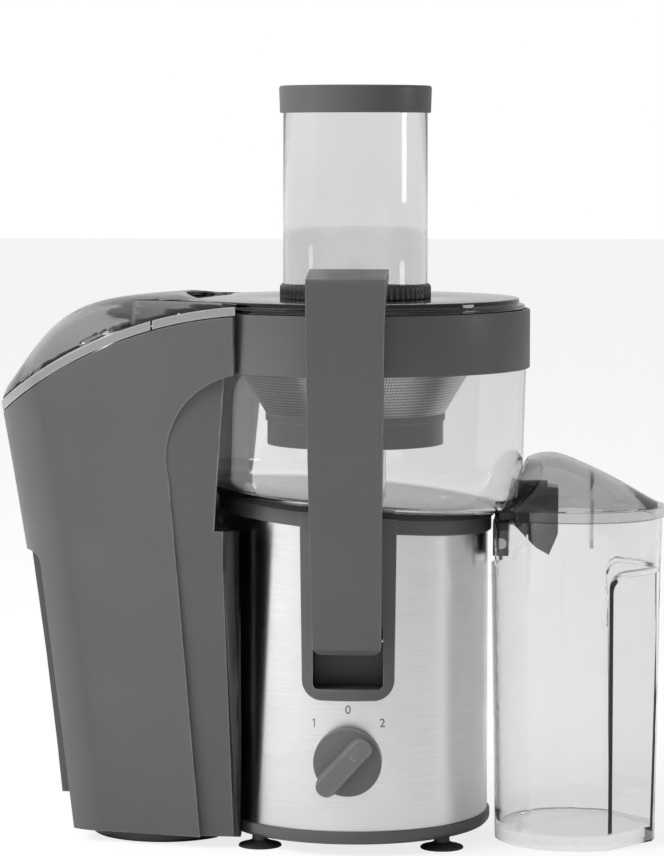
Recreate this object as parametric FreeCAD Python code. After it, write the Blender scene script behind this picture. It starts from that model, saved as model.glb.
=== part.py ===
import FreeCAD, Part
import math
import os

# Centrifugal juicer, millimetres. Front faces -Y, pulp bin at -X, juice jug at +X, +Z up.
# Everything is drawn about the motor axis (x = 0, y = 0) standing on z = 0, and moved at the
# end so that the origin is under the middle of the whole object.

V = FreeCAD.Vector

# ---- driving dimensions -------------------------------------------------------------------

SEAT = 0.1                # gap between pieces fixed to each other
RUN = 0.05                # radial clearance of a running fit
FREE = 0.5                # gap between bodies that move past each other

tilt_deg = 4.6            # slope of the deck and bowl floor, down towards the spout
shell_r = 74.0
shell_wall = 1.0
shell_top = 180.0         # height of the steel shell at the motor axis
tray_r = shell_r + 1.5
tray_bottom = 6.6
tray_top = 14.0
tray_floor = 3.0
foot_x = shell_r - 24.0
foot_y = shell_r - 29.0
cup_r = 12.0
cup_h = 3.4
stem_r = 4.3

deck_r = shell_r + 2.0
deck_bottom = shell_top - 2.5
deck_top = shell_top + 6.0
deck_plate = 3.0
gasket_h = 3.0
boss_r = 16.0
bearing_r = 11.0
bearing_h = 7.6
shaft_r = 4.0

trim_proud = 4.0          # how far the front trim stands off the steel shell
window_half = 19.0
trim_half_low = window_half + 6.0
trim_half_top = trim_half_low + 1.6
trim_bottom = 86.0
trim_corner = 11.0
window_low = 92.0
window_high = 128.0
liner_wall = 1.6
liner_depth = 21.0

bowl_r_low = shell_r + 19.0
bowl_r_top = bowl_r_low + 2.0
bowl_wall = 2.5
bowl_top = deck_top + 80.0
bowl_corner = 11.0
column_r = 17.0
column_wall = 2.5
column_top = deck_top + 28.0
collar_r = bowl_r_top + 2.0
collar_low = bowl_top - 4.5
collar_top = bowl_top + 28.0
collar_wall = 5.0
chute_half = 45.0
chute_low = bowl_top + 2.0
lid_r = collar_r - 6.0
lid_flange_r = collar_r - 3.0
lid_plate_h = 2.5
lid_step = 3.0
lid_seat = 0.3
lid_top = collar_top + 6.0
tube_bore_r = 37.5
tube_wall = 2.5
tube_low = bowl_top - 4.0
tube_top = lid_top + 117.0
tube_rim_h = 15.0
tube_rim_r = tube_bore_r + tube_wall + 2.3
tube_collar_r = tube_bore_r + tube_wall + 2.0
tube_collar_h = 8.0
mesh_low_r = 50.0
mesh_high = collar_top - 14.0
mesh_low = mesh_high - 43.6
mesh_high_r = bowl_r_low - 17.0
mesh_wall = 0.8
basket_rim_r = mesh_high_r + 4.0
basket_rim_h = 6.0
drum_low = mesh_low - 17.4
drum_plate = 4.0
drum_wall = 2.5
hub_r = 16.0
hub_low = column_top + 2.6
hex_r = 10.0
coupler_r = 12.0
coupler_low = deck_top + 5.0
coupler_head = mesh_low - 8.4
grater_r = mesh_low_r - 3.0
grater_h = 1.4
tooth_h = 1.6
tooth_rings = ((14.0, 8), (24.0, 14), (34.0, 20), (42.0, 26))

pivot_y = -(shell_r - 7.0)
pivot_z = window_high - 10.0
pivot_r = 2.0
lug_r = 5.0
arm_half_low = window_half - 0.65
arm_half_top = window_half + 2.25
arm_bottom = pivot_z - 6.0
arm_thick = 7.0
arm_back_reach = lid_r - 29.0  # how near the motor axis the arm's hook ends
arm_top = lid_top + 18.0
arm_ramp = 0.42           # rise of the hook's underside, per mm towards the feed tube
arm_skin = 2.4

knob_z = 53.0
knob_r = 18.5
knob_deg = 43.0           # the pointer rests this far clockwise of straight up
knob_base = shell_r + FREE
knob_face = knob_base + 6.5
knob_ridge = knob_face + 9.0
ridge_half = 6.0
knob_shaft_r = 3.0

housing_r = shell_r - 26.0
housing_wall = 3.0
housing_low = 30.0
housing_split = 95.0
housing_high = deck_top - 28.0
stator_low = 70.0
stator_high = 124.0
armature_r = 27.2
stator_bore_r = armature_r + 0.8
commutator_r = 12.0
commutator_low = 130.0
commutator_high = 144.0
fan_low = 46.0
fan_high = 58.0
fan_r = 40.0
fan_blades = 10
mount_ring_r = housing_r - 10.0
switch_half = 12.0
switch_low = 42.0
switch_high = 64.0
switch_inner = housing_r + 2.0
board_y = housing_r + 8.0
cord_z = 30.0
cord_hole_r = 6.0
cord_bore_r = 3.6

spout_y = -8.0
spout_z = deck_top + 1.0
spout_r = 12.5
spout_bore_r = 10.0
spout_start = bowl_r_low - 15.0
spout_end = bowl_r_low + 20.0
beak_half = 11.0
beak_wall = 2.0
beak_tip_z = spout_z - 28.0
bracket_end = spout_start + 8.0
bracket_low = beak_tip_z - 1.0
bracket_half = 9.0

jug_x = deck_r + 47.0
jug_y = spout_y
jug_half_x = 47.4
jug_half_y = 47.0
jug_taper = 3.0           # how much smaller each half-size is at the bottom
jug_wall = 2.5
jug_floor = 8.0
jug_top = spout_z - 7.0
jug_slot_half = spout_r + 1.7
jug_slot_low = beak_tip_z - 6.0
grip_x = 20.0             # where the jug's grip facet starts, from its centre
grip_fin = 10.0           # half thickness of the jug's grip at its outer end
grip_top = jug_top - 30.0
grip_corner = 8.0
brim_out = 2.0
brim_h = 5.5
jug_lid_wall = 2.0
separator_x = jug_x + 7.0
bin_wall = 2.5
bin_low = tray_bottom
bin_floor = 3.0
bin_x = -(shell_r + 32.0)  # where the rim band is parted; the bin's other places follow it
bin_inner_x = bin_x + 46.0  # the bin's sections run in to here before the base is cut out of them
nest_low_r = deck_r + 1.0  # radius cut out of the bin round the steel base
nest_high_r = collar_r + 1.5  # radius cut out of the bin round the bowl and its collar
nest_step = shell_top - 4.0
rim_arc_x = bin_x + 62.3  # centre of the arc that the bin's rim follows, seen from the front
rim_arc_z = collar_top - 226.1
rim_arc_r = 230.9
band_h = 5.3
band_gap = 0.6
flank_low_y = -50.0        # front of the set-back flank, at its foot
flank_high_y = -71.5       # and at the height of the collar
flank_turn = 0.05
fin_half = 9.0
fin_top = 162.0
fin_low = 22.0
fin_corner = 7.0
bin_foot_r = 41.0
bin_foot_x = bin_x - 1.0
bin_foot_end = bin_x - 40.5
hood_wall = 2.0
hood_skirt = 6.0

ROOM = 400.0              # larger than the object, for cutting shapes


# ---- small shape helpers ------------------------------------------------------------------
def cylinder(radius, low, high, x=0.0, y=0.0):
    """Upright cylinder."""
    return Part.makeCylinder(radius, high - low, V(x, y, low))


def tube(outer, inner, low, high, x=0.0, y=0.0):
    """Upright tube."""
    return cylinder(outer, low, high, x, y).cut(cylinder(inner, low - 1, high + 1, x, y))


def rod_y(radius, x, z, y_from, y_to):
    """Cylinder along Y."""
    return Part.makeCylinder(radius, y_to - y_from, V(x, y_from, z), V(0, 1, 0))


def rod_x(radius, y, z, x_from, x_to):
    """Cylinder along X."""
    return Part.makeCylinder(radius, x_to - x_from, V(x_from, y, z), V(1, 0, 0))


def block(x0, x1, y0, y1, z0, z1):
    """Box between two corners."""
    return Part.makeBox(x1 - x0, y1 - y0, z1 - z0, V(x0, y0, z0))


def outline(start, steps, place):
    """Closed wire: a step is a point for a line, or (via, end) for an arc."""
    edges = []
    here = start
    for step in steps:
        if isinstance(step[0], tuple):
            edges.append(Part.Arc(place(here), place(step[0]), place(step[1])).toShape())
            here = step[1]
        else:
            edges.append(Part.LineSegment(place(here), place(step)).toShape())
            here = step
    if here != start:
        edges.append(Part.LineSegment(place(here), place(start)).toShape())
    return Part.Wire(edges)


def at_x(x):
    return lambda p: V(x, p[0], p[1])


def at_y(y):
    return lambda p: V(p[0], y, p[1])


def at_z(z):
    return lambda p: V(p[0], p[1], z)


def prism_xz(start, steps, y_from, y_to):
    """Outline in the XZ plane carried along Y."""
    return Part.Face(outline(start, steps, at_y(y_from))).extrude(V(0, y_to - y_from, 0))


def prism_yz(start, steps, x_from, x_to):
    """Outline in the YZ plane carried along X."""
    return Part.Face(outline(start, steps, at_x(x_from))).extrude(V(x_to - x_from, 0, 0))


def prism_xy(start, steps, z_from, z_to):
    """Outline in the XY plane carried along Z."""
    return Part.Face(outline(start, steps, at_z(z_from))).extrude(V(0, 0, z_to - z_from))


def turned(points):
    """Solid of revolution about the motor axis from a closed (radius, z) outline."""
    face = Part.Face(outline(points[0], points[1:], lambda p: V(p[0], 0, p[1])))
    return face.revolve(V(0, 0, 0), V(0, 0, 1), 360)


def tilted_z(z_axis, x):
    """Height at x of a plane that slopes down towards the spout."""
    return z_axis - x * math.tan(math.radians(tilt_deg))


def below(z_axis):
    """Everything under the sloping plane that crosses the motor axis at z_axis."""
    left = (-ROOM, tilted_z(z_axis, -ROOM))
    right = (ROOM, tilted_z(z_axis, ROOM))
    return prism_xz(left, [right, (ROOM, -ROOM), (-ROOM, -ROOM)], -ROOM, ROOM)


def between(solid, low, high):
    """The part of a solid between two sloping planes."""
    return solid.common(below(high)).cut(below(low))


def polar(radius, angle_deg):
    angle = math.radians(angle_deg)
    return (radius * math.cos(angle), radius * math.sin(angle))


def rounded_rect_xz(half, low, high, corner, y_from, y_to):
    """Rectangle about x = 0 with four round corners, carried along Y."""
    mid = corner * (1 - math.sqrt(0.5))
    return prism_xz(
        (-half + corner, low),
        [
            (half - corner, low),
            ((half - mid, low + mid), (half, low + corner)),
            (half, high - corner),
            ((half - mid, high - mid), (half - corner, high)),
            (-half + corner, high),
            ((-half + mid, high - mid), (-half, high - corner)),
            (-half, low + corner),
            ((-half + mid, low + mid), (-half + corner, low)),
        ],
        y_from,
        y_to,
    )


# ---- motor base ---------------------------------------------------------------------------
def motor_base():
    """Steel shell, tray, feet, sloping deck and the front trim with its finger pocket."""
    tray_in = shell_r - shell_wall - SEAT
    shell = tube(shell_r, shell_r - shell_wall, tray_top + SEAT, ROOM).common(below(shell_top))
    shell = shell.cut(block(-window_half - liner_wall - SEAT, window_half + liner_wall + SEAT, -ROOM, 0,
                            window_low - liner_wall - SEAT, window_high + liner_wall + SEAT))
    shell = shell.cut(rod_y(knob_shaft_r + 1, 0, knob_z, -ROOM, 0))
    shell = shell.cut(rod_y(cord_hole_r + SEAT, 0, cord_z, 0, ROOM))
    tray = turned([
        (0, tray_bottom), (tray_r - 2, tray_bottom), (tray_r, tray_bottom + 2), (tray_r, tray_top),
        (tray_in, tray_top), (tray_in, tray_top + 6), (tray_in - 2, tray_top + 6),
        (tray_in - 2, tray_bottom + tray_floor), (0, tray_bottom + tray_floor),
    ])
    cups = []
    stems = []
    screws = []
    for sx in (-1, 1):
        for sy in (-1, 1):
            place = V(sx * foot_x, sy * foot_y, 0)
            cup = turned([
                (0, 1.5), (8, 1.0), (cup_r - 1.2, 0), (cup_r, 0), (cup_r - 0.6, 1.4),
                (stem_r + 0.8, cup_h), (0, cup_h),
            ])
            cup.translate(place)
            cups.append(cup)
            stems.append(cylinder(stem_r, cup_h, tray_bottom, place.x, place.y))
            screw = cylinder(3.2, tray_bottom + tray_floor, tray_bottom + tray_floor + 2.2,
                             place.x * 0.9, place.y * 0.9)
            screws.append(screw)
    ring = between(cylinder(deck_r, 100, 250), deck_bottom, deck_top)
    ring = ring.cut(cylinder(deck_r - 10, 100, 250))
    ring = ring.cut(tube(shell_r + SEAT, shell_r - shell_wall - SEAT, 100, 250).common(below(shell_top + SEAT)))
    deck = between(cylinder(deck_r - 10 - SEAT, 100, 250), deck_top - 2 - deck_plate, deck_top - 2)
    boss_top = deck_top + 1
    bearing_low = boss_top - 5 - bearing_h - 0.4 - 8
    deck = deck.fuse(cylinder(boss_r, bearing_low, boss_top))
    deck = deck.cut(cylinder(bearing_r + RUN, bearing_low - 1, bearing_low + bearing_h + 0.4))
    deck = deck.cut(cylinder(shaft_r + 2, bearing_low, boss_top + 1))
    bearing_up = tube(bearing_r, shaft_r + RUN, bearing_low + 0.2, bearing_low + 0.2 + bearing_h)
    seal = tube(bearing_r - 1, shaft_r + 2 * RUN, boss_top, boss_top + 3)
    gasket = between(tube(deck_r + 1.5, deck_r - 6, 100, 250), deck_top + SEAT / 2,
                     deck_top + gasket_h - SEAT / 2)

    trim_r = shell_r + trim_proud
    mid = trim_corner * (1 - math.sqrt(0.5))
    trim_shape = prism_xz(
        (-trim_half_top, 220),
        [
            (-trim_half_low, trim_bottom + trim_corner),
            ((-trim_half_low + mid, trim_bottom + mid), (-trim_half_low + trim_corner, trim_bottom)),
            (trim_half_low - trim_corner, trim_bottom),
            ((trim_half_low - mid, trim_bottom + mid), (trim_half_low, trim_bottom + trim_corner)),
            (trim_half_top, 220),
        ],
        -ROOM, 0)
    trim = tube(trim_r, shell_r + SEAT, trim_bottom, 220).common(trim_shape).common(below(deck_top))
    trim = trim.cut(rounded_rect_xz(window_half, window_low, window_high, 3, -ROOM, 0))
    trim = trim.cut(cylinder(deck_r + SEAT, 100, 250).cut(below(deck_bottom - SEAT)))

    liner_back = -(shell_r - liner_depth)
    liner = block(-window_half - liner_wall, window_half + liner_wall, -ROOM, liner_back,
                  window_low - liner_wall, window_high + liner_wall)
    liner = liner.common(cylinder(shell_r, 0, 250))
    liner = liner.cut(block(-window_half, window_half, -ROOM, liner_back - liner_wall,
                            window_low, window_high))
    liner = liner.cut(rod_x(pivot_r + SEAT, pivot_y, pivot_z, -ROOM, ROOM))
    pin_half = window_half + liner_wall
    pin = rod_x(pivot_r, pivot_y, pivot_z, -pin_half, pin_half)
    return {
        "steel_shell": shell, "base_tray": tray, "suction_cups": Part.makeCompound(cups),
        "foot_stems": Part.makeCompound(stems), "tray_screws": Part.makeCompound(screws),
        "deck_ring": ring, "motor_deck": deck, "upper_bearing": bearing_up, "shaft_seal": seal,
        "bowl_gasket": gasket, "front_trim": trim, "pocket_liner": liner, "arm_pivot_pin": pin,
    }


# ---- motor --------------------------------------------------------------------------------
def motor():
    """Motor housing, stator, bearing, brushes, switches, board and cord inlet, all fixed."""
    seat_h = 4.0
    lower = tube(housing_r, housing_r - housing_wall, housing_low, housing_split)
    lower = lower.fuse(tube(housing_r, bearing_r + RUN, housing_low, housing_low + seat_h))
    lower = lower.fuse(tube(bearing_r + 4, bearing_r + RUN, housing_low, housing_low + bearing_h + 0.4))
    lower_bearing = tube(bearing_r, shaft_r + RUN, housing_low + 0.2, housing_low + 0.2 + bearing_h)
    upper = tube(housing_r, housing_r - housing_wall, housing_split + SEAT, housing_high)
    upper = upper.fuse(tube(housing_r, commutator_r + 8, housing_high - seat_h, housing_high))
    vents = []
    for step in range(6):
        vent = block(housing_r - 10, housing_r + 10, -7, 7, housing_low + 12, housing_low + 28)
        vent.rotate(V(0, 0, 0), V(0, 0, 1), 60 * step)
        vents.append(vent)
    lower = lower.cut(Part.makeCompound(vents))
    stator = tube(housing_r - housing_wall - SEAT, stator_bore_r, stator_low, stator_high)
    for step in range(2):
        slot = block(stator_bore_r - 2, housing_r - 8, -9, 9, stator_low - 1, stator_high + 1)
        slot.rotate(V(0, 0, 0), V(0, 0, 1), 180 * step)
        stator = stator.cut(slot)
    brushes = []
    for side in (-1, 1):
        near = commutator_r + 0.4
        far = housing_r - housing_wall - 3 * SEAT
        brush = block(near, far, -4, 4, commutator_low + 3, commutator_high - 3)
        if side < 0:
            brush.rotate(V(0, 0, 0), V(0, 0, 1), 180)
        brushes.append(brush)
    rubbers = []
    for step in range(4):
        x, y = polar(mount_ring_r, 45 + 90 * step)
        rubbers.append(cylinder(5, tray_bottom + tray_floor, housing_low, x, y))
    switch = block(-switch_half, switch_half, -ROOM, -switch_inner, switch_low, switch_high)
    switch = switch.common(cylinder(shell_r - shell_wall - SEAT, 0, 250))
    switch = switch.cut(rod_y(knob_shaft_r + RUN, 0, knob_z, -ROOM, 0))
    liner_back = -(shell_r - liner_depth)
    safety = block(-5, 5, liner_back + SEAT / 2, -housing_r - FREE, pivot_z - 12, pivot_z + 4)
    board = block(-22, 22, board_y, board_y + 1.6, tray_bottom + tray_floor, 50)
    capacitor = block(-14, 2, board_y - 7, board_y, 18, 32)
    inlet = rod_y(cord_hole_r, 0, cord_z, shell_r - 8, shell_r + 6)
    inlet = inlet.fuse(rod_y(cord_hole_r + 2.5, 0, cord_z, shell_r + SEAT, shell_r + 2.5))
    inlet = inlet.cut(rod_y(cord_bore_r, 0, cord_z, 0, ROOM))
    return {
        "motor_housing_lower": lower, "motor_housing_upper": upper, "lower_bearing": lower_bearing,
        "motor_stator": stator, "carbon_brushes": Part.makeCompound(brushes),
        "rubber_mounts": Part.makeCompound(rubbers), "speed_switch": switch,
        "safety_switch": safety, "circuit_board": board, "capacitor": capacitor,
        "cord_inlet": inlet,
    }


def rotor():
    """Motor shaft with armature, commutator, fan and the drive coupler under the basket."""
    bore_r = shaft_r + RUN
    shaft = cylinder(shaft_r, housing_low + 0.2, coupler_head - 6)
    armature = tube(armature_r, bore_r, stator_low - 2, stator_high + 2)
    commutator = tube(commutator_r, bore_r, commutator_low, commutator_high)
    fan = tube(fan_r, bore_r, fan_low, fan_low + 2).fuse(tube(9, bore_r, fan_low, fan_high))
    for step in range(fan_blades):
        blade = block(12, fan_r - 1, -0.8, 0.8, fan_low + 1, fan_high)
        blade.rotate(V(0, 0, 0), V(0, 0, 1), 360.0 * step / fan_blades)
        fan = fan.fuse(blade)
    head = Part.Face(Part.makePolygon(
        [V(*polar(hex_r, 60 * step), hub_low - 1) for step in range(7)]
    )).extrude(V(0, 0, coupler_head - hub_low + 1))
    coupler = cylinder(coupler_r, coupler_low, hub_low - 0.6).fuse(head)
    coupler = coupler.cut(cylinder(bore_r, coupler_low - 1, coupler_head - 6 + RUN))
    return {
        "motor_shaft": shaft, "armature": armature, "commutator": commutator,
        "cooling_fan": fan, "drive_coupler": coupler,
    }


# ---- bowl, collar and spout ---------------------------------------------------------------
def bowl_envelope(grow):
    """Outer shape of the juice bowl, made larger or smaller all round by grow."""
    slope = (bowl_r_top - bowl_r_low) / (bowl_top - 195.0)
    low = 150.0
    r_low = bowl_r_low + slope * (low - 195.0) + grow
    r_high = bowl_r_top + grow
    body = Part.makeCone(r_low, r_high, bowl_top - low, V(0, 0, low))
    body = body.cut(below(deck_top + gasket_h - grow))
    edges = []
    for edge in body.Edges:
        box = edge.BoundBox
        if box.XLength > r_low and box.ZMax < bowl_top - 1 and box.ZLength > 1:
            edges.append(edge)
    return body.makeFillet(bowl_corner + grow, edges)


def bowl_parts():
    """Clear juice bowl, its dark collar, and the spout with its beak and bracket."""
    floor_z = deck_top + gasket_h
    bowl = bowl_envelope(0)
    inside = bowl_envelope(-bowl_wall)
    lift = cylinder(bowl_r_top - bowl_wall, bowl_top - 1, bowl_top + 1)
    bowl = bowl.cut(inside).cut(lift.common(cylinder(bowl_r_top - bowl_wall, bowl_top - 1, ROOM)))
    column = tube(column_r, column_r - column_wall, 150, column_top).cut(below(floor_z + 1))
    bowl = bowl.fuse(column).cut(cylinder(column_r - column_wall, 100, column_top + 1))
    bowl = bowl.cut(rod_x(spout_bore_r, spout_y, spout_z + 3, 78, ROOM))

    collar = tube(collar_r, collar_r - collar_wall, bowl_top + SEAT, collar_top)
    collar = collar.fuse(tube(collar_r, bowl_r_top + SEAT, collar_low, bowl_top + SEAT))
    collar = collar.cut(block(-ROOM, -70, -chute_half, chute_half, chute_low, ROOM))

    spout = rod_x(spout_r, spout_y, spout_z, spout_start, spout_end - 6)
    spout = spout.fuse(rod_x(spout_r + 1, spout_y, spout_z, spout_start, spout_start + 6))
    top = spout_z + spout_r - 1.5
    beak_start = (spout_end - 16, top)
    beak_steps = [(spout_end, top - 2), (spout_end, beak_tip_z + 12), (spout_end - 5, beak_tip_z),
                  (spout_end - 12, beak_tip_z + 4), (spout_end - 24, spout_z - spout_r + 1)]
    beak_wire = outline(beak_start, beak_steps, at_y(spout_y - beak_half))
    beak = Part.Face(beak_wire).extrude(V(0, 2 * beak_half, 0))
    inner_wire = beak_wire.makeOffset2D(-beak_wall, 2)
    hollow = Part.Face(inner_wire).extrude(V(0, 2 * (beak_half - beak_wall), 0))
    hollow.translate(V(0, beak_wall, 0))
    mouth = block(spout_end - 6, spout_end + 5, spout_y - beak_half + beak_wall,
                  spout_y + beak_half - beak_wall, beak_tip_z - 2, beak_tip_z + 17)
    spout = spout.fuse(beak).cut(rod_x(spout_bore_r, spout_y, spout_z, 0, spout_end - 8))
    spout = spout.cut(hollow).cut(mouth).cut(bowl_envelope(SEAT))
    screw_x = (spout_start + bracket_end) / 2
    screw_z = bracket_low + 7
    face_y = spout_y - bracket_half
    bracket = block(spout_start - 1, bracket_end, face_y, spout_y + bracket_half, bracket_low, spout_z - 3)
    bracket = bracket.cut(rod_x(spout_r + 1 + SEAT, spout_y, spout_z, 0, ROOM))
    bracket = bracket.cut(rod_y(1.6 + RUN, screw_x, screw_z, face_y - 5, face_y + 8))
    screw = rod_y(1.6, screw_x, screw_z, face_y, face_y + 8)
    screw = screw.fuse(rod_y(3.0, screw_x, screw_z, face_y - 1.4, face_y))
    return {
        "juice_bowl": bowl, "bowl_collar": collar, "juice_spout": spout,
        "spout_bracket": bracket, "bracket_screw": screw,
    }


# ---- filter basket ------------------------------------------------------------------------
def basket():
    """Filter cone with its rim, the drum and hub under it, and the grating disc."""
    cone = turned([
        (mesh_low_r - mesh_wall, mesh_low), (mesh_low_r, mesh_low), (mesh_high_r, mesh_high),
        (mesh_high_r - mesh_wall, mesh_high),
    ])
    rim = turned([
        (mesh_high_r - 3, mesh_high + SEAT), (basket_rim_r - 2, mesh_high + SEAT),
        (basket_rim_r, mesh_high + 2), (basket_rim_r, mesh_high + basket_rim_h),
        (mesh_high_r - 3, mesh_high + basket_rim_h),
    ])
    plate_top = mesh_low - SEAT
    plate_low = plate_top - drum_plate
    drum = tube(mesh_low_r - 1, mesh_low_r - 1 - drum_wall, drum_low, plate_low)
    drum = drum.fuse(cylinder(mesh_low_r, plate_low, plate_top))
    socket = Part.Face(Part.makePolygon(
        [V(*polar(hex_r + FREE, 60 * step), hub_low - 1) for step in range(7)]
    )).extrude(V(0, 0, coupler_head + FREE - hub_low + 1))
    drum = drum.fuse(cylinder(hub_r, hub_low, plate_low)).cut(socket)
    disc = cylinder(grater_r, plate_top + SEAT, plate_top + SEAT + grater_h)
    disc_top = plate_top + SEAT + grater_h
    teeth = []
    for ring_r, count in tooth_rings:
        for step in range(count):
            tooth = Part.makeCone(1.3, 0.4, tooth_h + 0.2, V(ring_r, 0, disc_top - 0.2))
            tooth.rotate(V(0, 0, 0), V(0, 0, 1), 360.0 * step / count)
            teeth.append(tooth)
    disc = disc.fuse(teeth)
    return {"filter_mesh": cone, "filter_rim": rim, "basket_drum": drum, "grater_disc": disc}


# ---- locking arm and knob -----------------------------------------------------------------
def arm_profile(x_half):
    """Side outline of the locking arm, carried to x_half on each side."""
    clear_collar = -collar_r - FREE
    clear_bowl = -bowl_r_low - FREE - 1
    front = clear_collar - arm_thick
    hook_z = lid_top + 0.4 - arm_ramp * (-clear_collar - lid_r)
    reach_z = hook_z + arm_ramp * (-clear_collar - arm_back_reach)
    trim_front = -(shell_r + trim_proud)
    low_back = trim_front - 1.5
    low_front = low_back - arm_thick - 0.5
    return prism_yz(
        (low_front, arm_bottom + 3),
        [
            ((clear_bowl - arm_thick - 0.5, 192), (front, lid_top)),
            (front + 0.4, arm_top - 9),
            ((front + 2, arm_top - 5.5), (front + 6, arm_top - 4)),
            (-arm_back_reach - 3, arm_top),
            ((-arm_back_reach - 0.9, arm_top - 0.9), (-arm_back_reach, arm_top - 3)),
            (-arm_back_reach, reach_z),
            (clear_collar, hook_z),
            (clear_collar, collar_low),
            (clear_bowl, 190),
            (low_back, pivot_z + 10),
            (low_back, arm_bottom),
            (low_front + 3, arm_bottom),
        ],
        -x_half, x_half)


def arm():
    """Locking arm: outer skin, the core behind it, and the lugs that turn on the pivot pin."""
    full = arm_profile(arm_half_top)
    corner = 5.0
    mid = corner * (1 - math.sqrt(0.5))
    face_shape = prism_xz(
        (-arm_half_top, arm_top + 1),
        [
            (-arm_half_low, arm_bottom + corner),
            ((-arm_half_low + mid, arm_bottom + mid), (-arm_half_low + corner, arm_bottom)),
            (arm_half_low - corner, arm_bottom),
            ((arm_half_low - mid, arm_bottom + mid), (arm_half_low, arm_bottom + corner)),
            (arm_half_top, arm_top + 1),
        ],
        -ROOM, 0)
    full = full.common(face_shape)
    behind = full.copy()
    behind.translate(V(0, arm_skin, -arm_skin * 0.6))
    side = block(-arm_half_low + arm_skin, arm_half_low - arm_skin, -ROOM, 0, arm_bottom + arm_skin, ROOM)
    core = full.common(behind).common(side)
    skin = full.cut(core)
    slim = block(-arm_half_low + arm_skin + SEAT, arm_half_low - arm_skin - SEAT, -ROOM, 0,
                 arm_bottom + arm_skin + SEAT, ROOM)
    inset = behind.copy()
    inset.translate(V(0, SEAT, 0))
    core = core.common(slim).common(inset)
    lug_half = arm_half_low - arm_skin - SEAT
    lug_front = -(shell_r + trim_proud) - 4
    lug = block(-lug_half, lug_half, lug_front, pivot_y, pivot_z - lug_r, pivot_z + lug_r)
    lug = lug.fuse(rod_x(lug_r, pivot_y, pivot_z, -lug_half, lug_half))
    core = core.fuse(lug).cut(rod_x(pivot_r + RUN, pivot_y, pivot_z, -ROOM, ROOM))
    skin = skin.cut(block(-lug_half - SEAT, lug_half + SEAT, lug_front - SEAT, 0,
                          pivot_z - lug_r - SEAT, pivot_z + lug_r + SEAT))
    return {"locking_arm": skin, "arm_core": core}


def slot_xz(half, low, high, y_from, y_to):
    """Round-ended bar about x = 0, carried along Y."""
    return prism_xz(
        (-half, low + half),
        [((0, low), (half, low + half)), (half, high - half), ((0, high), (-half, high - half))],
        y_from, y_to)


def knob():
    """Speed knob: disc with a pointer ridge, an inlay at its tip and the shaft behind."""
    tail = knob_r + 3
    disc = rod_y(knob_r, 0, 0, -knob_face, -knob_base)
    ridge = slot_xz(ridge_half, -tail, knob_r - 1.5, -knob_ridge, -knob_base - 2)
    for side in (-1, 1):
        cutter = Part.Face(Part.Wire(Part.makePolygon([
            V(side * ridge_half * 0.7, -knob_ridge - 1, -ROOM),
            V(side * ridge_half * 1.5, -knob_face - 1, -ROOM),
            V(side * ridge_half * 3, -knob_ridge - 1, -ROOM),
            V(side * ridge_half * 0.7, -knob_ridge - 1, -ROOM),
        ]))).extrude(V(0, 0, 2 * ROOM))
        ridge = ridge.cut(cutter)
    inlay_low = knob_r - 14
    pocket = slot_xz(1.7 + RUN, inlay_low - RUN, inlay_low + 8 + RUN, -knob_ridge - 1, -knob_ridge + 1.2)
    inlay = slot_xz(1.7, inlay_low, inlay_low + 8, -knob_ridge - 0.2, -knob_ridge + 1.2 - RUN)
    body = disc.fuse(ridge).cut(pocket).cut(rod_y(knob_shaft_r + RUN, 0, 0, -knob_face + 2, 0))
    shaft = rod_y(knob_shaft_r, 0, 0, -knob_face + 2 + RUN, -switch_inner)
    nodes = {"speed_knob": body, "knob_pointer": inlay, "knob_shaft": shaft}
    for shape in nodes.values():
        shape.rotate(V(0, 0, 0), V(0, 1, 0), knob_deg)
        shape.translate(V(0, 0, knob_z))
    return nodes


# ---- pulp bin -----------------------------------------------------------------------------
def bin_section(z, left, half_left, half_right, inset):
    """One level of the bin: round corners at the left, cut square under the bowl at the right."""
    left = left + inset
    half_left = half_left - inset
    half_right = half_right - inset
    corner = 28.0 - inset
    mid = corner * (1 - math.sqrt(0.5))
    return outline(
        (bin_inner_x, -half_right),
        [
            (left + corner, -half_left),
            ((left + mid, -half_left + mid), (left, -half_left + corner)),
            (left, half_left - corner),
            ((left + mid, half_left - mid), (left + corner, half_left)),
            (bin_inner_x, half_right),
        ],
        at_z(z))


def bin_loft(inset, low):
    """The bin's tapering block before its rim, nest and grip are cut."""
    sections = [
        bin_section(low, bin_x - 57.0, 43.0, shell_r - 11.0, inset),
        bin_section(fin_top, bin_x - 75.0, 52.0, shell_r - 1.0, inset),
        bin_section(lid_top + 10.0, bin_x - 100.0, 60.0, shell_r + 8.0, inset),
    ]
    return Part.makeLoft(sections, True, False)


def under_rim(drop):
    """Everything under the rim's arc lowered by drop."""
    radius = rim_arc_r - drop
    return rod_y(radius, rim_arc_x, rim_arc_z, -ROOM, ROOM)


def nest(grow):
    """Space that the base, bowl and collar take out of the bin's inner side."""
    return cylinder(nest_low_r + grow, -10, ROOM).fuse(cylinder(nest_high_r + grow, nest_step - grow, ROOM))


def waist_cutter(grow):
    """Cuts the set-back flank right of the curved crease, on the front."""
    top = collar_low + 0.5
    crease = prism_xz(
        (bin_x + 26 - grow, -20),
        [
            (bin_x + 8.5 - grow, top - 57),
            ((bin_x + 16 - grow, top - 19), (bin_x + 48 - grow, top + grow)),
            (0, top + grow),
            (0, -20),
        ],
        -ROOM, 0)
    flank = outline(
        (flank_low_y + grow, -20),
        [(flank_high_y + grow, collar_top - 14), (-ROOM, collar_top - 14), (-ROOM, -20)],
        at_x(bin_x - 9))
    return crease.common(Part.Face(flank).extrude(V(80, -80 * flank_turn, 0)))


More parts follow.
